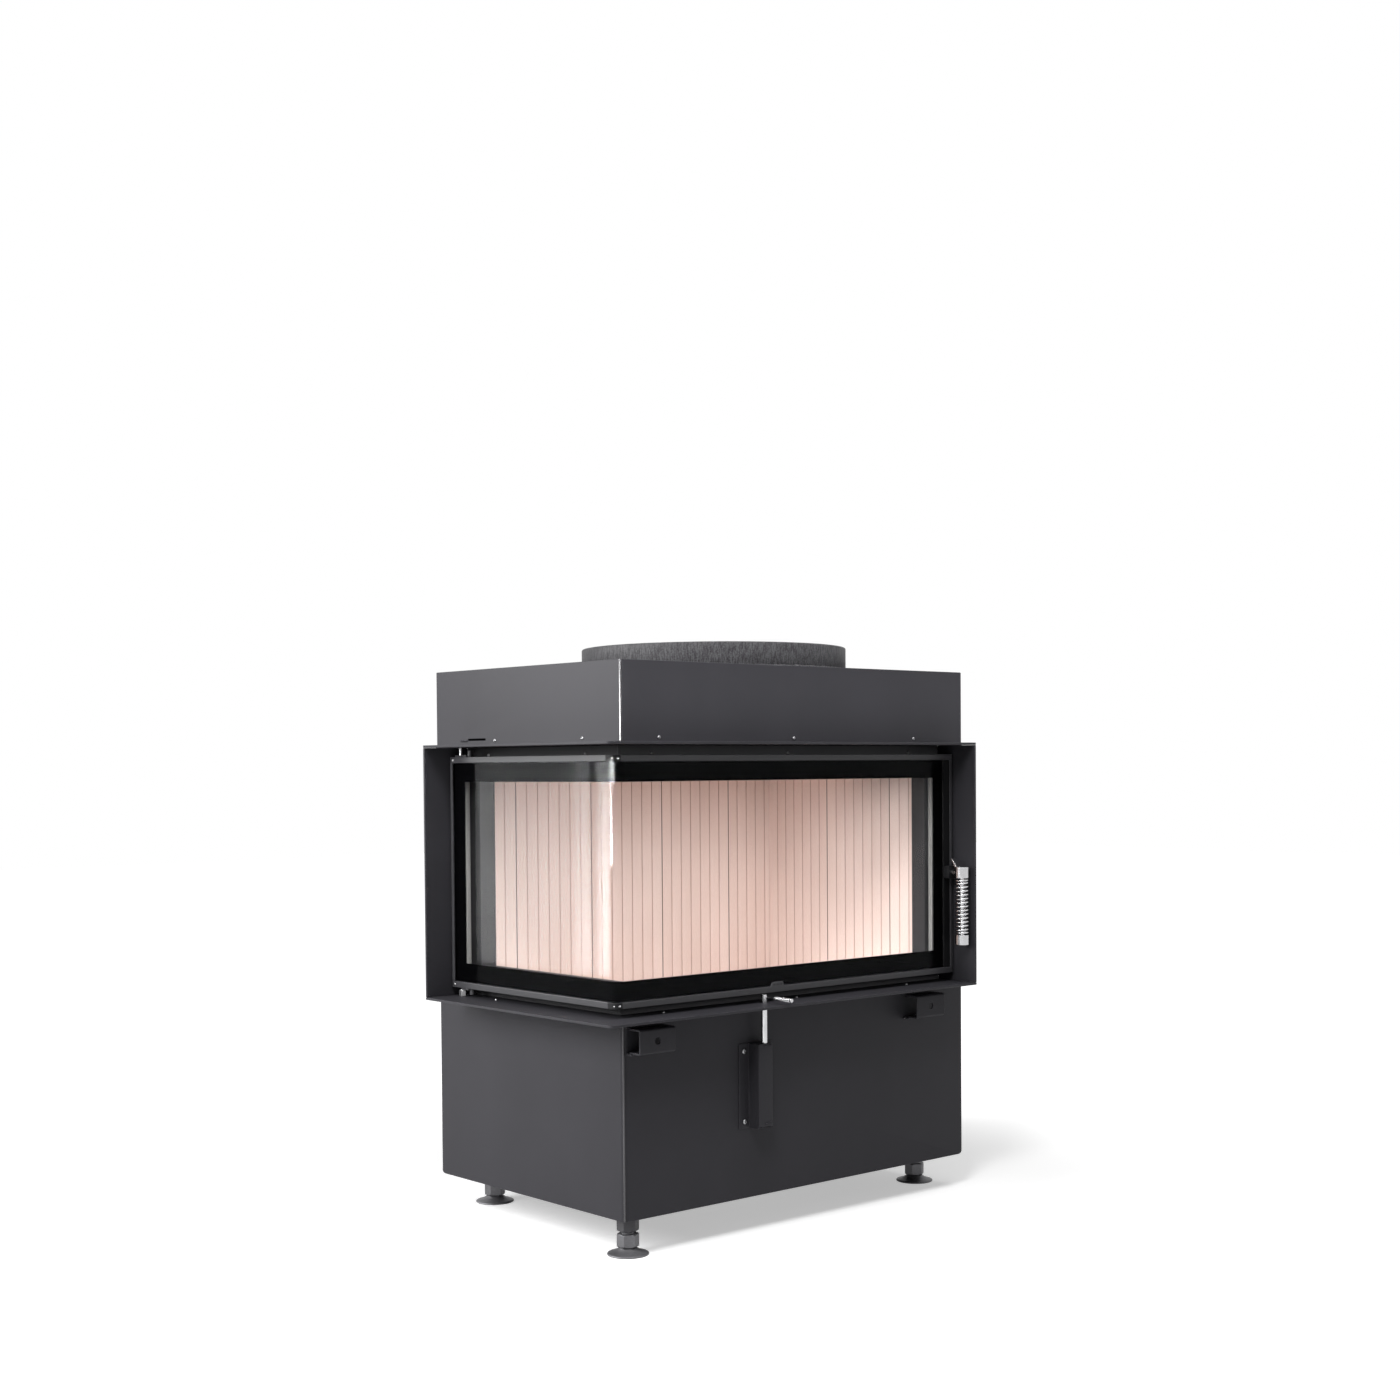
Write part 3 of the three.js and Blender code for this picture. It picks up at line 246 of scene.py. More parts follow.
foot_steel = steel("foot_steel", (0.125, 0.124, 0.132), 0.5, (1, 1, 6), 220, 0.25, metallic=0.55)
boss_paint = painted("boss_paint", (0.035, 0.034, 0.038), 0.5, 0.3)
for foot in ("front_left", "rear_left", "front_right", "rear_right"):
    low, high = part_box(f"foot_pad_{foot}")
    centre = Vector(((low.x + high.x) / 2, (low.y + high.y) / 2, 0))
    pad = [(0, 2), (26, 2), (29.5, 0), (31.6, 0), (32.3, 0.5), (32.4, 1.4), (31.8, 2.5), (28.4, 3.5),
           (24, 4.8), (20.1, 6.4), (16.8, 8.4), (14.6, 10.2), (13.4, 11.4), (12.4, 12), (0, 12)]
    piece(f"foot_pad_{foot}_dish", turned(bmesh.new(), centre, pad), foot_steel, f"foot_{foot}",
          [f"foot_pad_{foot}"], 50)

    # the wrench hexagon is the lower part of the CAD stud
    hexagon_top = 32.3
    hexagon = bmesh.new()
    hexagon.from_mesh(nodes[f"foot_stud_{foot}"].data)
    bmesh.ops.remove_doubles(hexagon, verts=hexagon.verts, dist=0.00001)
    bmesh.ops.bisect_plane(hexagon, geom=hexagon.verts[:] + hexagon.edges[:] + hexagon.faces[:],
                           plane_co=(0, 0, hexagon_top / 1000), plane_no=(0, 0, 1), clear_outer=True)
    bmesh.ops.holes_fill(hexagon, edges=[e for e in hexagon.edges if e.is_boundary])
    bmesh.ops.dissolve_limit(hexagon, angle_limit=math.radians(1), verts=hexagon.verts,
                             edges=hexagon.edges)
    nut = piece(f"foot_hexagon_{foot}", hexagon, foot_steel, f"foot_{foot}",
                [f"foot_stud_{foot}"], 30)
    soft = nut.modifiers.new("edges", "BEVEL")
    soft.width = 0.0007
    soft.segments = 2
    soft.use_clamp_overlap = False

    # M20 thread from the hexagon up through the boss
    thread = bmesh.new()
    pitch, sides, bottom, top = 2.5, 48, 31.8, 88
    outer_radius, depth, run_out, run_out_length = 9.95, 0.9, 33, 1.5
    rows = int((top - bottom) / pitch * 6)
    grid = []
    for row in range(rows + 1):
        z = bottom + (top - bottom) * row / rows
        cut = depth * min(1, max(0, (z - run_out) / run_out_length))
        ring = []
        for side in range(sides):
            phase = (z / pitch - side / sides) % 1
            radius = outer_radius - cut * (1 - abs(2 * phase - 1))
            angle = side / sides * math.tau
            ring.append(thread.verts.new(centre + Vector(
                (radius * math.cos(angle), radius * math.sin(angle), z)) / 1000))
        grid.append(ring)
    for ring, other in zip(grid, grid[1:]):
        for i in range(sides):
            thread.faces.new((ring[i], ring[(i + 1) % sides], other[(i + 1) % sides], other[i]))
    thread.faces.new(grid[0])
    thread.faces.new(grid[-1])
    piece(f"foot_thread_{foot}", thread, foot_steel, f"foot_{foot}",
          smooth=60)
    dress(f"foot_boss_{foot}", boss_paint, 0.7, 30)

# ---------------------------------------------------------------- base casing
# A box folded from 3 mm sheet steel, open at the top, with rounded lower edges at the right and
# back. Satin, near-black heat-proof paint, which shines more on the weld of its near corner.
black_paint = painted("black_paint", (0.026, 0.0252, 0.0292), 0.5, 0.12)
dress("base_casing", black_paint, 0.8)

seam_paint = painted("seam_paint", (0.03, 0.029, 0.033), 0.26, 0.5)


def corner_seam(name, inset, profile):
    """A thin upright weld bead in the near vertical corner, inset from both of its faces in mm."""
    bead = turned(bmesh.new(), at(inset, inset, 0), profile, 24)
    piece(name, bead, seam_paint, "body")


low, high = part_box("base_casing")
bottom, top = low.z * 1000, high.z * 1000
corner_seam("base_corner_seam", 1.1, [(0, bottom + 1), (1.2, bottom + 1), (1.5, bottom + 3),
                                      (1.5, top - 3), (1.3, top - 2), (0, top - 2)])

# ---------------------------------------------------------------- front brackets
# Two hooks folded from 3 mm strip, welded to the front of the base under the flange by short
# beads at their lower corners. Each has one round hole for a tie.


def beads(name, places, body, material):
    """Small weld beads: flattened lumps in short rows."""
    shape = bmesh.new()
    for number, (x, y, z, size) in enumerate(places):
        lump = bmesh.ops.create_icosphere(shape, subdivisions=3, radius=size / 1000)["verts"]
        for vert in lump:
            wave = 1 + 0.16 * math.sin(vert.co.x * 2600 + number) * math.cos(vert.co.z * 2100 + number)
            vert.co = at(x, y, z) + vert.co * wave
    return piece(name, shape, material, body, smooth=80)


for number, x in ((1, 44.9), (2, 654.2)):
    dress(f"front_bracket_{number}", black_paint, 0.7)
    beads(f"front_bracket_{number}_welds",
          [(x - 37 + 3 * i, -1.6, 312.4 - 0.4 * i, 2.3) for i in range(4)] +
          [(x - 35.6, -2.4 - 3 * i, 311.9, 1.9) for i in range(3)], "body", black_paint)

# ---------------------------------------------------------------- air control
# The steel shaft of the air damper rises in front of the base, behind a folded cover channel,
# through the flange. Its lever ends in a grip of wound wire. The channel is painted like the base.


def tube(path, radius, sides=10):
    """A closed round tube along a path of points in metres."""
    shape = bmesh.new()
    rings = []
    across = (path[1] - path[0]).orthogonal().normalized()
    for i, point in enumerate(path):
        ahead = (path[min(i + 1, len(path) - 1)] - path[max(i - 1, 0)]).normalized()
        across = (across - ahead * across.dot(ahead)).normalized()
        other = ahead.cross(across)
        rings.append([shape.verts.new(point + (across * math.cos(a) + other * math.sin(a)) * radius / 1000)
                      for a in (side / sides * math.tau for side in range(sides))])
    for ring, following in zip(rings, rings[1:]):
        for i in range(sides):
            j = (i + 1) % sides
            shape.faces.new((ring[i], ring[j], following[j], following[i]))
    shape.faces.new(rings[0])
    shape.faces.new(rings[-1])
    return shape


def coil(start, end, radius, wire, turns, closed=1):
    """A wound wire from start to end, whose last turns at both ends lie close together."""
    length = (end - start).length * 1000
    along = (end - start).normalized()
    across = along.orthogonal().normalized()
    other = along.cross(across)
    steps = 32
    tight = wire * 2.08  # the pitch of the close turns, a little over the wire's own width
    pitch = (length - 2 * wire - 2 * closed * tight) / (turns - 2 * closed)
    path = []
    for i in range(turns * steps + 1):
        turn = i / steps
        middle = min(max(turn - closed, 0), turns - 2 * closed)
        rise = wire + middle * pitch + (turn - middle) * tight
        angle = turn * math.tau
        path.append(start + along * rise / 1000 +
                    (across * math.cos(angle) + other * math.sin(angle)) * radius / 1000)
    return tube(path, wire)


bright_steel = steel("bright_steel", (0.5, 0.5, 0.51), 0.2, (1, 1, 0.08), 700, 0.1)
dress("air_shaft", bright_steel, 0.4, 30)
low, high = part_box("air_lever_coil")
middle = (low + high) / 2
overhang = 0.0004
piece("air_lever_grip", coil(Vector((middle.x, high.y + overhang, middle.z)),
                             Vector((middle.x, low.y - overhang, middle.z)), 2.5, 0.7, 16),
      bright_steel, "air_control", ["air_lever_coil"], 80)
dress("air_channel", black_paint, 0.5)


def screws(name, places, direction, body, material, radius=3.2, rise=1.6, recess=1.3):
    """Round-headed screws with a round socket, seated on a face that looks in a direction."""
    shape = bmesh.new()
    turn = Vector((0, 0, 1)).rotation_difference(Vector(direction)).to_matrix()
    head = [(0, rise * 0.35), (recess, rise * 0.35), (recess, rise * 0.95), (recess + 0.25, rise),
            (radius * 0.62, rise * 0.95), (radius * 0.86, rise * 0.7), (radius, rise * 0.3),
            (radius, 0), (0, 0)]
    for place in places:
        one = turned(bmesh.new(), at(*place), head, 24, turn)
        mesh = bpy.data.meshes.new(name)
        one.to_mesh(mesh)
        one.free()
        shape.from_mesh(mesh)
        bpy.data.meshes.remove(mesh)
    return piece(name, shape, material, body, smooth=40)


dull_steel = steel("dull_steel", (0.3, 0.3, 0.31), 0.42, (1, 1, 1), 900, 0.25)
screws("air_channel_screws", [(244.5, -1.8, 292.8), (245.2, -1.8, 180.7), (294.5, -1.8, 292.8),
                              (294.5, -1.8, 180.7)], (0, -1, 0), "body", dull_steel,
       3.9, 1.6, 1.8)
beads("air_channel_welds", [(267 + 3.2 * i, -25.6, 301 + 0.3 * i, 1.7) for i in range(5)] +
      [(268 + 3 * i, -25.7, 177.6 + 0.6 * i, 1.6) for i in range(5)], "body", black_paint)

# ---------------------------------------------------------------- air box
# Under the hearth the combustion air comes in through a round spigot, fills a sheet steel box and
# leaves it through three ports that a sliding plate opens. Plain dull steel sheet.
sheet_steel = steel("sheet_steel", (0.33, 0.33, 0.335), 0.45, (1, 12, 12), 90, 0.18)
for node in ("air_box", "air_slide", "air_spigot"):
    dress(node, sheet_steel, 0.4)

# ---------------------------------------------------------------- flange
# Two 4 mm plates in the shape of the body's plan reach out round the door, and an end plate
# closes each side between them. Painted like the base; small screws hold the plates.
for node in ("flange_bottom", "flange_end_left", "flange_end_right", "flange_top"):
    dress(node, black_paint, 0.7)
screws("flange_bottom_screws", [(-12.4, 311.5, 369.3), (78.2, -1.2, 369.3), (358.6, -3.2, 369.3),
                                (619.4, -3.1, 369.3)], (0, 0, 1), "body", dull_steel,
       2.6, 2.2, 0.9)

# ---------------------------------------------------------------- firebox shell
# A tub of welded 4 mm steel hangs in the lower plate and carries the lining. Only its edges show
# past the lining; it is painted in the same dark grey as the surround.
grey_paint = painted("grey_paint", (0.035, 0.0345, 0.037), 0.5, 0.15)
dress("firebox_shell", grey_paint, 0.6)

# ---------------------------------------------------------------- fireclay lining
# Tall fireclay bricks line the back and the right wall, pressed with fine upright grooves, and
# slabs lie below and above. Matt pink beige clay with painted shade in the grooves, and sooty joints.


def clay(name, depth_axis, face):
    """Fireclay: sandy grain, soft stains, and painted shade in grooves that go in along one axis from a
    face in m.
    """
    def varying(place):
        sand = place.noise(1500, 3)
        grit = place.noise(420, 4)
        stain = place.noise(9, 4, (1, 1, 0.35))
        tone = (sand * 0.35 + grit * 0.25 + stain * 0.4).between(0.32, 0.68)
        body = tone.tint((0.80, 0.655, 0.595, 1), (0.93, 0.785, 0.73, 1))
        speck = grit.between(0.68, 0.74)
        dotted = (speck * 0.35).tint(body, (0.36, 0.24, 0.2, 1))
        # painted shade: the colour darkens inside the grooves, behind the brick's face
        groove_shade = (place.axis(depth_axis) - face).between(0.0002, 0.0014)
        return {
            "Base Color": (groove_shade * 0.75).tint(dotted, (0.42, 0.25, 0.2, 1)),
            "Normal": (sand * 0.5 + grit * 0.5).bump(0.00025),
        }
    return surface(name, {"Roughness": 0.92, "Specular IOR Level": 0.15}, varying)


back_clay = clay("back_clay", "Y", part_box("lining_back_2")[0].y)
right_clay = clay("right_clay", "X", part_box("lining_right_2")[0].x)
out_of_reach = 10  # a face that no point lies behind, so the slabs get no painted groove shade
slab_clay = clay("slab_clay", "Z", out_of_reach)
for number in range(1, 6):
    dress(f"lining_back_{number}", back_clay, 0.5, 25)
for number in range(1, 4):
    dress(f"lining_right_{number}", right_clay, 0.5, 25)
dress("hearth_slab", slab_clay, 1.5)



def block(shape, low, high):
    """Adds a box between two corners in metres."""
    for vert in bmesh.ops.create_cube(shape, size=1)["verts"]:
        vert.co = Vector(((low[i] + high[i]) / 2 + vert.co[i] * (high[i] - low[i]) for i in range(3)))


# sooty cement fills the joints between the bricks
joint_mortar = surface("joint_mortar", {"Roughness": 0.95, "Specular IOR Level": 0.1}, lambda place: {
    "Base Color": place.noise(600, 3).tint((0.13, 0.085, 0.07, 1), (0.26, 0.18, 0.15, 1)),
})
half_width, proud, reach = 0.0009, 0.00015, 0.002
joints = bmesh.new()
for wall, across, inward, count in (("back", 0, 1, 5), ("right", 1, 0, 3)):
    for number in range(1, count):
        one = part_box(f"lining_{wall}_{number}")
        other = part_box(f"lining_{wall}_{number + 1}")
        near = min(max(one[0][across], other[0][across]), max(one[1][across], other[1][across]))
        low, high = one[0].copy(), one[1].copy()
        low[across], high[across] = near - half_width, near + half_width
        low[inward], high[inward] = one[0][inward] - proud, one[0][inward] + reach
        block(joints, low, high)
piece("lining_joints", joints, joint_mortar, "body")
dress("baffle_slab", slab_clay, 1.5)

# ---------------------------------------------------------------- door surround
# The frame that the door closes on: welded angle steel behind the flange, with the small screws
# of the lining's clamps in its upper strip. Dark grey paint.
dress("door_surround", grey_paint, 0.8)
screws("surround_screws_left", [(9.25, 356.7, 766), (9.25, 98.5, 766)], (-1, 0, 0), "body",
       dull_steel, 2.8)
screws("surround_screws_front", [(74.8, 17.9, 766), (362.2, 17.9, 766), (649.2, 17.9, 766)],
       (0, -1, 0), "body", dull_steel, 2.8)
dress("latch_keeper", dull_steel, 0.4)

# ---------------------------------------------------------------- rope seal
# A braided glass-fibre rope lies round the opening, between the surround and the door's frame.
# Pale and dark strands cross each other, so that it looks speckled from a distance.


def braid(place):
    x, y, z = (place.axis(name) for name in "XYZ")
    along = (x + y + z) * 2400
    aside = (z - x - y) * 2400
    strands = along.maths("SINE", along) * aside.maths("SINE", aside) * 0.5 + 0.5
    fuzz = place.noise(1800, 3)
    mixed = strands * 0.7 + fuzz * 0.3
    return {
        "Base Color": mixed.between(0.3, 0.7).tint((0.06, 0.058, 0.056, 1), (0.62, 0.61, 0.59, 1)),
        "Normal": mixed.bump(0.0008),
    }


rope = surface("rope", {"Roughness": 0.95, "Specular IOR Level": 0.1}, braid)
dress("rope_seal", rope, 2.6, 40, 4)

# ---------------------------------------------------------------- door rails
# Four rolled steel rails hold the glass above and below. Satin dark grey paint; each ends in a
# rounded return beside the black corner clip.
rail_paint = painted("rail_paint", (0.036, 0.0355, 0.039), 0.4, 0.3)
for node in ("door_rail_left_bottom", "door_rail_left_top", "door_rail_front_bottom",
             "door_rail_front_top"):
    dress(node, rail_paint, 0.9, 35, 3)
clip_black = surface("clip_black", {"Specular IOR Level": 0.12}, lambda place: {
    "Base Color": place.noise(300, 3).tint((0.006, 0.006, 0.007, 1), (0.014, 0.014, 0.015, 1)),
    "Roughness": place.noise(900, 2) * 0.1 + 0.4,
})
for node in ("door_corner_clip_bottom", "door_corner_clip_top"):
    dress(node, clip_black, 0.6, 35, 3)
for level, z in (("bottom", 388.6), ("top", 758.4)):
    for side, (x, y) in (("left", (-25.5, -11.6)), ("front", (-19.6, -17.6))):
        normal = (Vector((x, y)) - Vector((-16.35, -7.7))).normalized()
        screws(f"door_clip_pin_{level}_{side}", [(x, y, z)], (normal.x, normal.y, 0), "door",
               bright_steel, 1.7, 1, 0.3)

# three small vent holes in the tab on the front bottom rail, drawn as thin black discs: painted shade, no
# holes are cut
vent_radius, vent_depth = 0.0014, 0.0003
vent_discs = bmesh.new()
for x in (295, 302.5, 310):
    hole_disc = bmesh.ops.create_cone(vent_discs, cap_ends=True, segments=20, radius1=vent_radius,
                                 radius2=vent_radius, depth=vent_depth)["verts"]
    for vert in hole_disc:
        vert.co = at(x, -18.75, 396.4) + Vector((vert.co.x, vert.co.z, vert.co.y))
piece("door_rail_tab_hole_shade", vent_discs, clip_black, "door")

# ---------------------------------------------------------------- door frame
# Behind the glass a welded frame stiffens the door and presses on the rope. Deep black paint;
# two edge strips of grey steel cover the ends of the glass.
deep_black = painted("deep_black", (0.0045, 0.0045, 0.005), 0.55, 0.12, 0.2)
dress("door_frame", deep_black, 0)
for node in ("door_edge_left", "door_edge_right"):
    dress(node, rail_paint, 0.4)

# ---------------------------------------------------------------- printed border
# The glass carries a deep black enamel border on its inner face, which hides the frame. It is
# fired on in a thin layer, so it is modelled as thin bands just behind the glass.
enamel = surface("enamel", {"Specular IOR Level": 0}, lambda place: {
    "Base Color": place.noise(700, 3).tint((0.0008, 0.0008, 0.001, 1), (0.0014, 0.0014, 0.0017, 1)),
    "Roughness": place.noise(400, 2) * 0.2 + 0.4,
})


def corner_band(shape, inset, thick, end_x, end_y, z0, z1, bend=16):
    """A thin band that follows the bent glass at a depth behind its outer faces, in mm."""
    outer_x, outer_y, round_to = -25.35 + inset, -16.7 + inset, bend - inset
    steps = 16
    beside = 1  # a row of points this far from the bend keeps the flat parts flat in reflections
    plan = []
    for depth in (0, thick):
        x, y, r = outer_x + depth, outer_y + depth, round_to - depth
        line = [(x, end_y), (x, y + r + beside)]
        for step in range(steps + 1):
            angle = math.pi + step / steps * math.pi / 2
            line.append((x + r + r * math.cos(angle), y + r + r * math.sin(angle)))
        line += [(x + r + beside, y), (end_x, y)]
        plan.append(line if depth == 0 else line[::-1])
    outline = plan[0] + plan[1]
    lower = [shape.verts.new(at(x, y, z0)) for x, y in outline]
    upper = [shape.verts.new(at(x, y, z1)) for x, y in outline]
    count = len(outline)
    half = count // 2
    for i in range(count):
        j = (i + 1) % count
        shape.faces.new((lower[i], lower[j], upper[j], upper[i]))
    for ring in (lower, upper):
        for i in range(half - 1):
            shape.faces.new((ring[i], ring[i + 1], ring[count - 2 - i], ring[count - 1 - i]))
    return shape


end_x, end_y, window_bottom, window_top = 701.8, 413.9, 424.7, 723
border = bmesh.new()
for z0, z1 in ((394.2, window_bottom), (window_top, 753.2)):
    corner_band(border, 3.4, 0.4, end_x, end_y, z0, z1)
for x0, x1, y0, y1 in ((-21.95, -21.55, 382, end_y), (678, end_x, -13.3, -12.9)):
    block(border, at(x0, y0, window_bottom), at(x1, y1, window_top))
piece("door_glass_border", border, enamel, "door", smooth=30)

# ---------------------------------------------------------------- door glass
# One pane of 4 mm glass ceramic, bent to a tight corner. It is clear: its reflections and a few
# faint wipe marks are all that shows of it.


def clear(place):
    """Mirrors as much as glass does; the index is inverted where a ray meets a face from behind."""
    index = 1.52
    back = place.node("ShaderNodeNewGeometry", output="Backfacing")
    gloss = place.node("ShaderNodeFresnel", {}, {"IOR": index - back * (index - 1 / index)})
    wipe = place.noise(11, 4, (1, 1, 0.4)).between(0.45, 0.8) * 0.0015
    return {
        "Alpha": gloss * 0.1 + wipe,
        "Roughness": place.noise(25, 3) * 0.02 + 0.022,
    }


glass = surface("glass", {"Metallic": 1, "Base Color": (0.95, 0.96, 0.96, 1)}, clear)
pane = corner_band(bmesh.new(), 0, 4, 702, 414.2, 394, 753.4)
piece("door_glass_pane", pane, glass, "door", ["door_glass"], 30)

# ---------------------------------------------------------------- door hinge
# The door turns on a pin under the upper flange and on an adjusting bush on the lower one, both
# zinc-plated. Painted lugs on the left rails carry them, each with a short stud beside it.
zinc = steel("zinc", (0.46, 0.46, 0.465), 0.34, (1, 1, 0.3), 500, 0.2)
for node in ("hinge_pin_top", "hinge_bush_bottom"):
    dress(node, zinc, 0.4, 30)
for node in ("hinge_lug_top", "hinge_lug_bottom"):
    dress(node, rail_paint, 0.5, 30)
screws("hinge_end_screws", [(-27.35, 408.5, 388.6), (-27.35, 408.5, 758.4)], (-1, 0, 0), "door", zinc,
       2.2, 0.9, 0.8)

# ---------------------------------------------------------------- door handle
# A lever hangs from an axle in the door's right post: two turned stainless caps on an inner rod,
# with a wire coil between them that stays cool to the hand.
dress("handle_bracket", clip_black, 1)
dress("handle_lever", bright_steel, 0.4, 30, 3)
low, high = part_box("handle_coil")
middle = (low + high) / 2
piece("handle_coil_wire", coil(Vector((middle.x, middle.y, low.z)), Vector((middle.x, middle.y, high.z)),
                               10.4, 1.6, 15), bright_steel, "handle",
      ["handle_coil"], 80)

# ---------------------------------------------------------------- rear jacket
# A thin sheet closes the body at the back and on the right, between the two flange plates.
# Painted like the base.
dress("rear_jacket", black_paint, 0.5)

# ---------------------------------------------------------------- hood
# A folded hood with a sharp upper edge sits on the upper flange, welded at its near corner. Screws
# hold it to the flange, and a slot low in its left side lets the hinge be reached.
dress("hood_casing", black_paint, 0.9)
screws("hood_screws_left", [(0, 326.8, 790), (0, 93.2, 790)], (-1, 0, 0), "body", dull_steel,
       2.8)
screws("hood_screws_front", [(75, 0, 790), (359.6, 0, 790), (643.5, 0, 790)], (0, -1, 0), "body",
       dull_steel, 2.8)
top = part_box("hood_casing")[1].z * 1000
corner_seam("hood_corner_seam", 1.5, [(0, 783), (1.9, 783), (2.1, 785), (2.1, top - 2),
                                      (1.8, top - 0.6), (0, top - 0.4)])
beads("hood_slot_welds", [(0, 406 + 3.4 * i, 790 + 0.3 * (i % 2), 1.9) for i in range(6)], "body",
      black_paint)

# ---------------------------------------------------------------- flue collar
# A low ring rolled from 5 mm strip stands on the hood, with a weld bead round its foot. Raw
# rolled steel under a thin coat of dark paint; a deflector plate stands below it.


def rolled(place):
    mark = place.noise(420, 4, (1, 1, 0.2))
    spot = place.noise(420, 3)
    tone = mark * 0.6 + spot * 0.4
    return {
        "Base Color": tone.between(0.33, 0.68).tint((0.022, 0.0215, 0.0235, 1), (0.075, 0.0735, 0.078, 1)),
        "Roughness": spot * 0.2 + 0.42,
        "Normal": tone.bump(0.0006),
    }


rolled_steel = surface("rolled_steel", {"Specular IOR Level": 0.12}, rolled)
low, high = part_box("flue_collar")
centre = Vector(((low.x + high.x) / 2, (low.y + high.y) / 2, low.z))
outer = (high.x - low.x) * 500
ring = [(outer - 5, 0.4), (outer - 4.6, 0), (outer - 0.4, 0), (outer, 0.4), (outer, 36.4),
        (outer - 0.2, 37.5), (outer - 0.75, 38.4), (outer - 1.6, 38.95), (outer - 2.5, 39.1),
        (outer - 4, 39.1), (outer - 4.7, 38.8), (outer - 5, 38.1)]
piece("flue_collar_ring", turned(bmesh.new(), centre, ring, 256), rolled_steel, "body",
      ["flue_collar"], 50)
weld = bmesh.new()
turns, sides = 720, 8
rings = []
for step in range(turns):
    angle = step / turns * math.tau
    size = 1.9 + 0.45 * math.sin(step * math.tau / 4) + 0.3 * math.sin(step * 0.37)
    out = Vector((math.cos(angle), math.sin(angle), 0))
    rings.append([weld.verts.new(centre + (out * (outer + 0.2 + size * math.cos(a)) +
                                           Vector((0, 0, 1)) * (0.6 + size * math.sin(a))) / 1000)
                  for a in (side / sides * math.tau for side in range(sides))])
for ring_a, ring_b in zip(rings, rings[1:] + rings[:1]):
    for i in range(sides):
        weld.faces.new((ring_a[i], ring_a[(i + 1) % sides], ring_b[(i + 1) % sides], ring_b[i]))
piece("flue_collar_weld", weld, rolled_steel, "body", smooth=80)
dress("smoke_deflector", sheet_steel, 0.5)

# ---------------------------------------------------------------- floor and light
# A pale floor that runs out to white. Soft lamps stand at the left, before the near corner and
# over the front, a narrow one grazes the hood, and panels show as reflections alone.
reach = 12
floor_mesh = bpy.data.meshes.new("floor")
floor_mesh.from_pydata([(-reach, -reach, 0), (reach, -reach, 0), (reach, reach, 0), (-reach, reach, 0)],
                       [], [(0, 1, 2, 3)])
floor = bpy.data.objects.new("floor", floor_mesh)
scene.collection.objects.link(floor)
glow_near, glow_far = 0.45, 1


def backdrop_mask(tree):
    """1 for rays from the camera, mirrors and glass, 0 for the light that falls on the object."""
    path = Signal(tree)
    camera, glossy, through = (path.node("ShaderNodeLightPath", output=name) for name in
                               ("Is Camera Ray", "Is Glossy Ray", "Is Transmission Ray"))
    return camera.maths("MAXIMUM", camera, glossy.maths("MAXIMUM", glossy, through))


def pale(place):
    """Lit by the lamps near the object, and white for the camera further out."""
    distance = place.node("ShaderNodeVectorMath", {"operation": "LENGTH"}, {0: place}, "Value")
    glow = distance.between(0.6, 1.35).tint((glow_near, glow_near, glow_near, 1),
                                            (glow_far, glow_far, glow_far, 1))
    return {
        "Base Color": place.noise(3, 2).tint((0.78, 0.78, 0.78, 1), (0.8, 0.8, 0.8, 1)),
        "Emission Color": backdrop_mask(place.tree).tint((0, 0, 0, 1), glow),
    }


floor_mesh.materials.append(surface("pale_floor", {"Roughness": 0.9, "Specular IOR Level": 0,
                                                   "Emission Strength": 1}, pale))

world = bpy.data.worlds.new("studio")
world.use_nodes = True
scene.world = world
background = world.node_tree.nodes["Background"]
background.inputs["Color"].default_value = (1, 1, 1, 1)
ambient = 0.16
strength = backdrop_mask(world.node_tree) * (1 - ambient) + ambient
world.node_tree.links.new(strength.socket, background.inputs["Strength"])


def softbox(name, place, target, width, height, power, spread=180, mirror_only=False):
    """A rectangular lamp that looks at a target; with mirror_only it shows in reflections alone."""
    data = bpy.data.lights.new(name, "AREA")
    data.shape = "RECTANGLE"
    data.size, data.size_y = width, height
    data.energy = power
    data.spread = math.radians(spread)
    lamp = bpy.data.objects.new(name, data)
    lamp.location = place
    lamp.rotation_euler = (Vector(target) - Vector(place)).to_track_quat("-Z", "Y").to_euler()
    lamp.visible_camera = False
    lamp.visible_diffuse = not mirror_only
    scene.collection.objects.link(lamp)
    return lamp


softbox("light_left", (-2.2, 0.3, 1.3), (-0.35, 0.05, 0.5), 1.2, 1.2, 72)
softbox("light_front", (0.15, -0.62, 1.75), (0.1, -0.2, 0.8), 1.3, 0.3, 12)
softbox("light_hood_front", (0.1, -1.9, 1.3), (0.1, -0.21, 0.87), 1.3, 0.12, 0.42, 8)
softbox("light_corner", (-1.0, -1.0, 1.8), (-0.35, -0.21, 0.87), 0.4, 0.4, 20)
softbox("panel_left_back", (-2.3, 2.0, 1.65), (-0.35, -0.2, 0.85), 0.8, 1.3, 110, mirror_only=True)


def only_on(lamps, names, group):
    """Lets these lamps light only the named pieces."""
    lit = bpy.data.collections.new(group)
    for name in names:
        lit.objects.link(bpy.data.objects[name])
    for lamp in lamps:
        lamp.light_linking.receiver_collection = lit


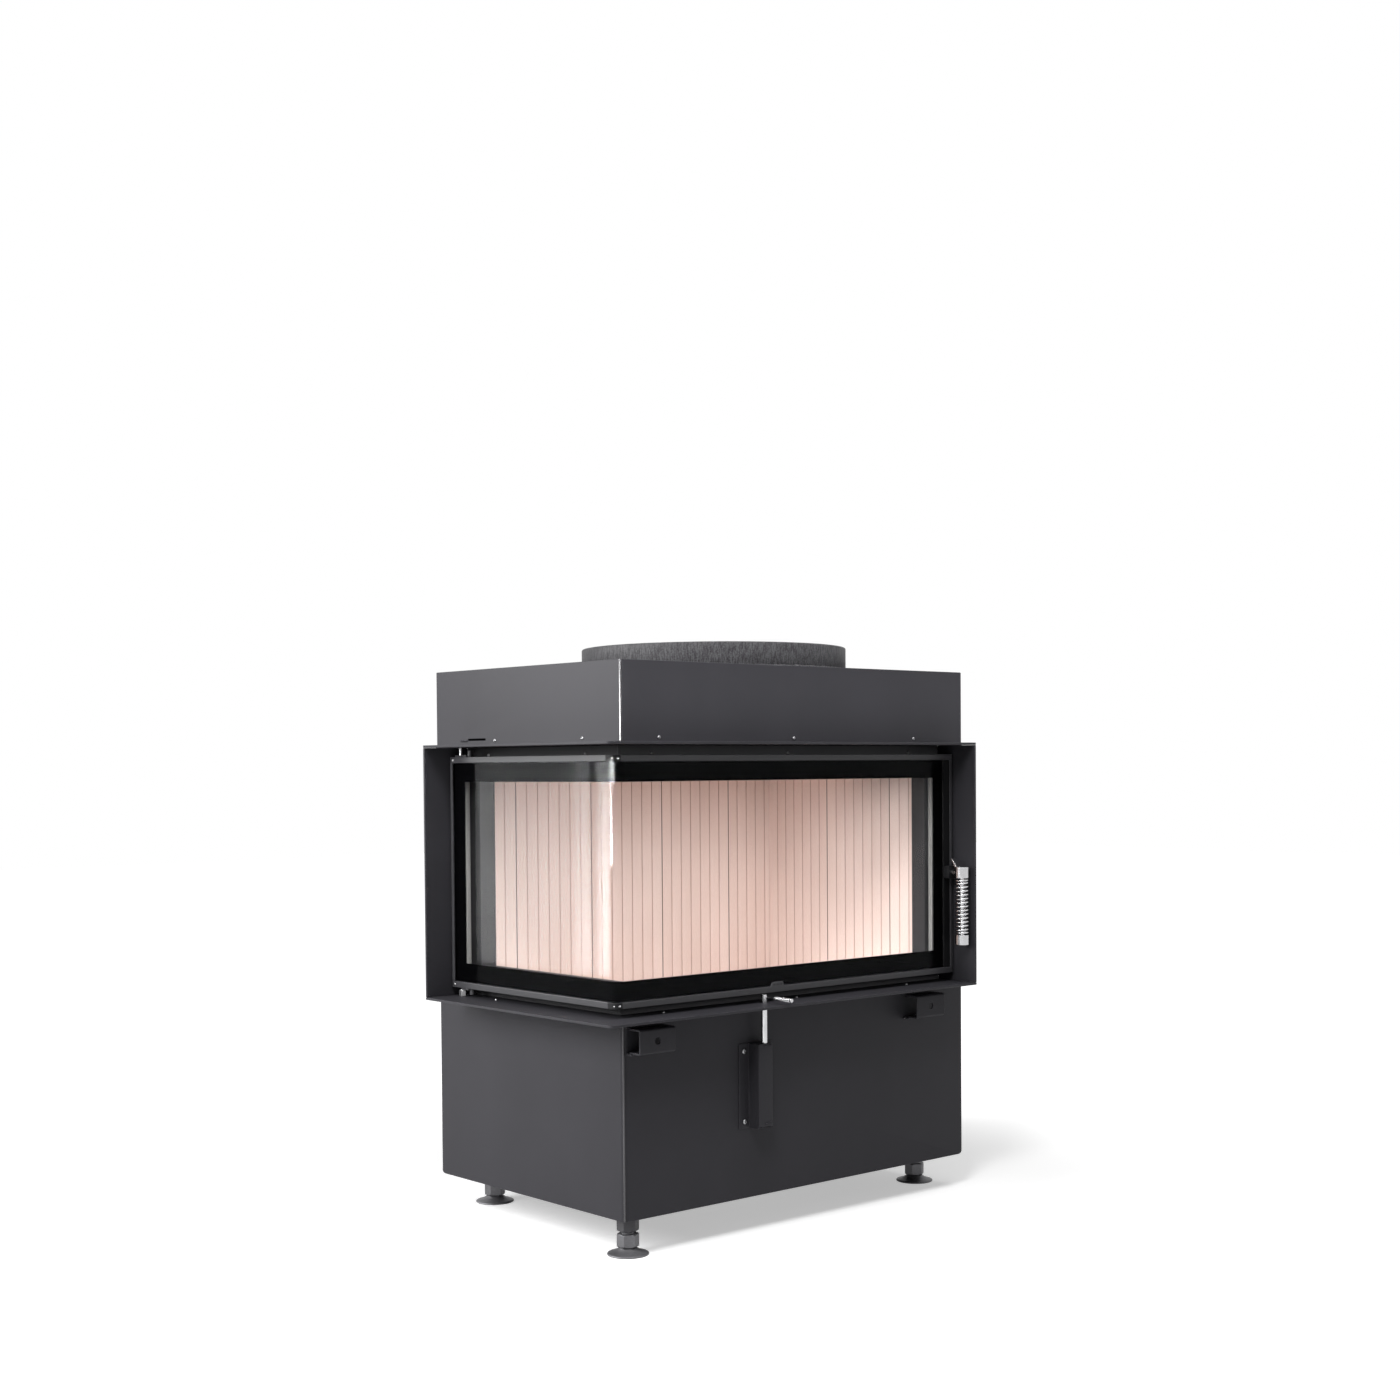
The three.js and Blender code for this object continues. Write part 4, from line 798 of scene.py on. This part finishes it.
# The firebox is lit through its glass by two lamps of its own.
only_on([softbox("light_window_front", (0.2, -2.2, 1.1), (0.1, 0.1, 0.56), 1.4, 0.8, 17),
         softbox("light_window_corner", (-1.3, -2.3, 1.25), (0.0, 0.1, 0.56), 1.2, 1.0, 25)],
        [f"{name}_finish" for name in ("firebox_shell", "hearth_slab", "baffle_slab", "door_surround",
                                       "rope_seal", "smoke_deflector")] +
        [f"lining_back_{number}_finish" for number in range(1, 6)] +
        [f"lining_right_{number}_finish" for number in range(1, 4)], "firebox_pieces")
# These show only in the glass, as the streaks of its bend and the pale band at its left, and on
# the seam of the hood.
streaks = [softbox("strip_left", (-2.76, 0.785, 0.735), (-0.36, -0.21, 0.735), 1.0, 0.53, 330,
                   mirror_only=True),
           softbox("strip_front", (-2.82, -1.056, 0.85), (-0.36, -0.21, 0.85), 1.4, 0.3, 260,
                   mirror_only=True)]
wall_x, wall_z, straight_ahead = -2.85, 0.5, 9
for number, (y, wide, power) in enumerate(((2.953, 0.07, 6.2), (3.074, 0.09, 5), (3.535, 0.83, 16)), 1):
    streaks.append(softbox(f"panel_left_{number}", (wall_x, y, wall_z), (straight_ahead, y, wall_z),
                           wide, 1.0, power, mirror_only=True))
only_on(streaks, ["door_glass_pane", "hood_corner_seam"], "panes")

# ---------------------------------------------------------------- camera
# The photograph's viewpoint: near the height of the hood, left of the near corner.
camera_data = bpy.data.cameras.new("camera")
camera_data.lens = 49.5
camera_data.sensor_width = 36
camera_data.shift_y = 0.08576
camera = bpy.data.objects.new("camera", camera_data)
scene.collection.objects.link(camera)
eye = (-2.153705, -2.46051, 0.74388)
yaw, down, roll = math.radians(41.073), math.radians(1.570), math.radians(-0.4235)
forward = Vector((math.sin(yaw) * math.cos(down), math.cos(yaw) * math.cos(down), -math.sin(down)))
right = Vector((math.cos(yaw), -math.sin(yaw), 0))
up = right.cross(forward)
image_right = right * math.cos(roll) + up * math.sin(roll)
image_up = up * math.cos(roll) - right * math.sin(roll)
turn = Matrix((image_right, image_up, -forward)).transposed().to_4x4()
camera.matrix_world = Matrix.Translation(eye) @ turn
scene.camera = camera
scene.view_settings.view_transform = "Standard"


def plain(bounds):
    return [[round(value, 6) for value in point] for point in bounds]
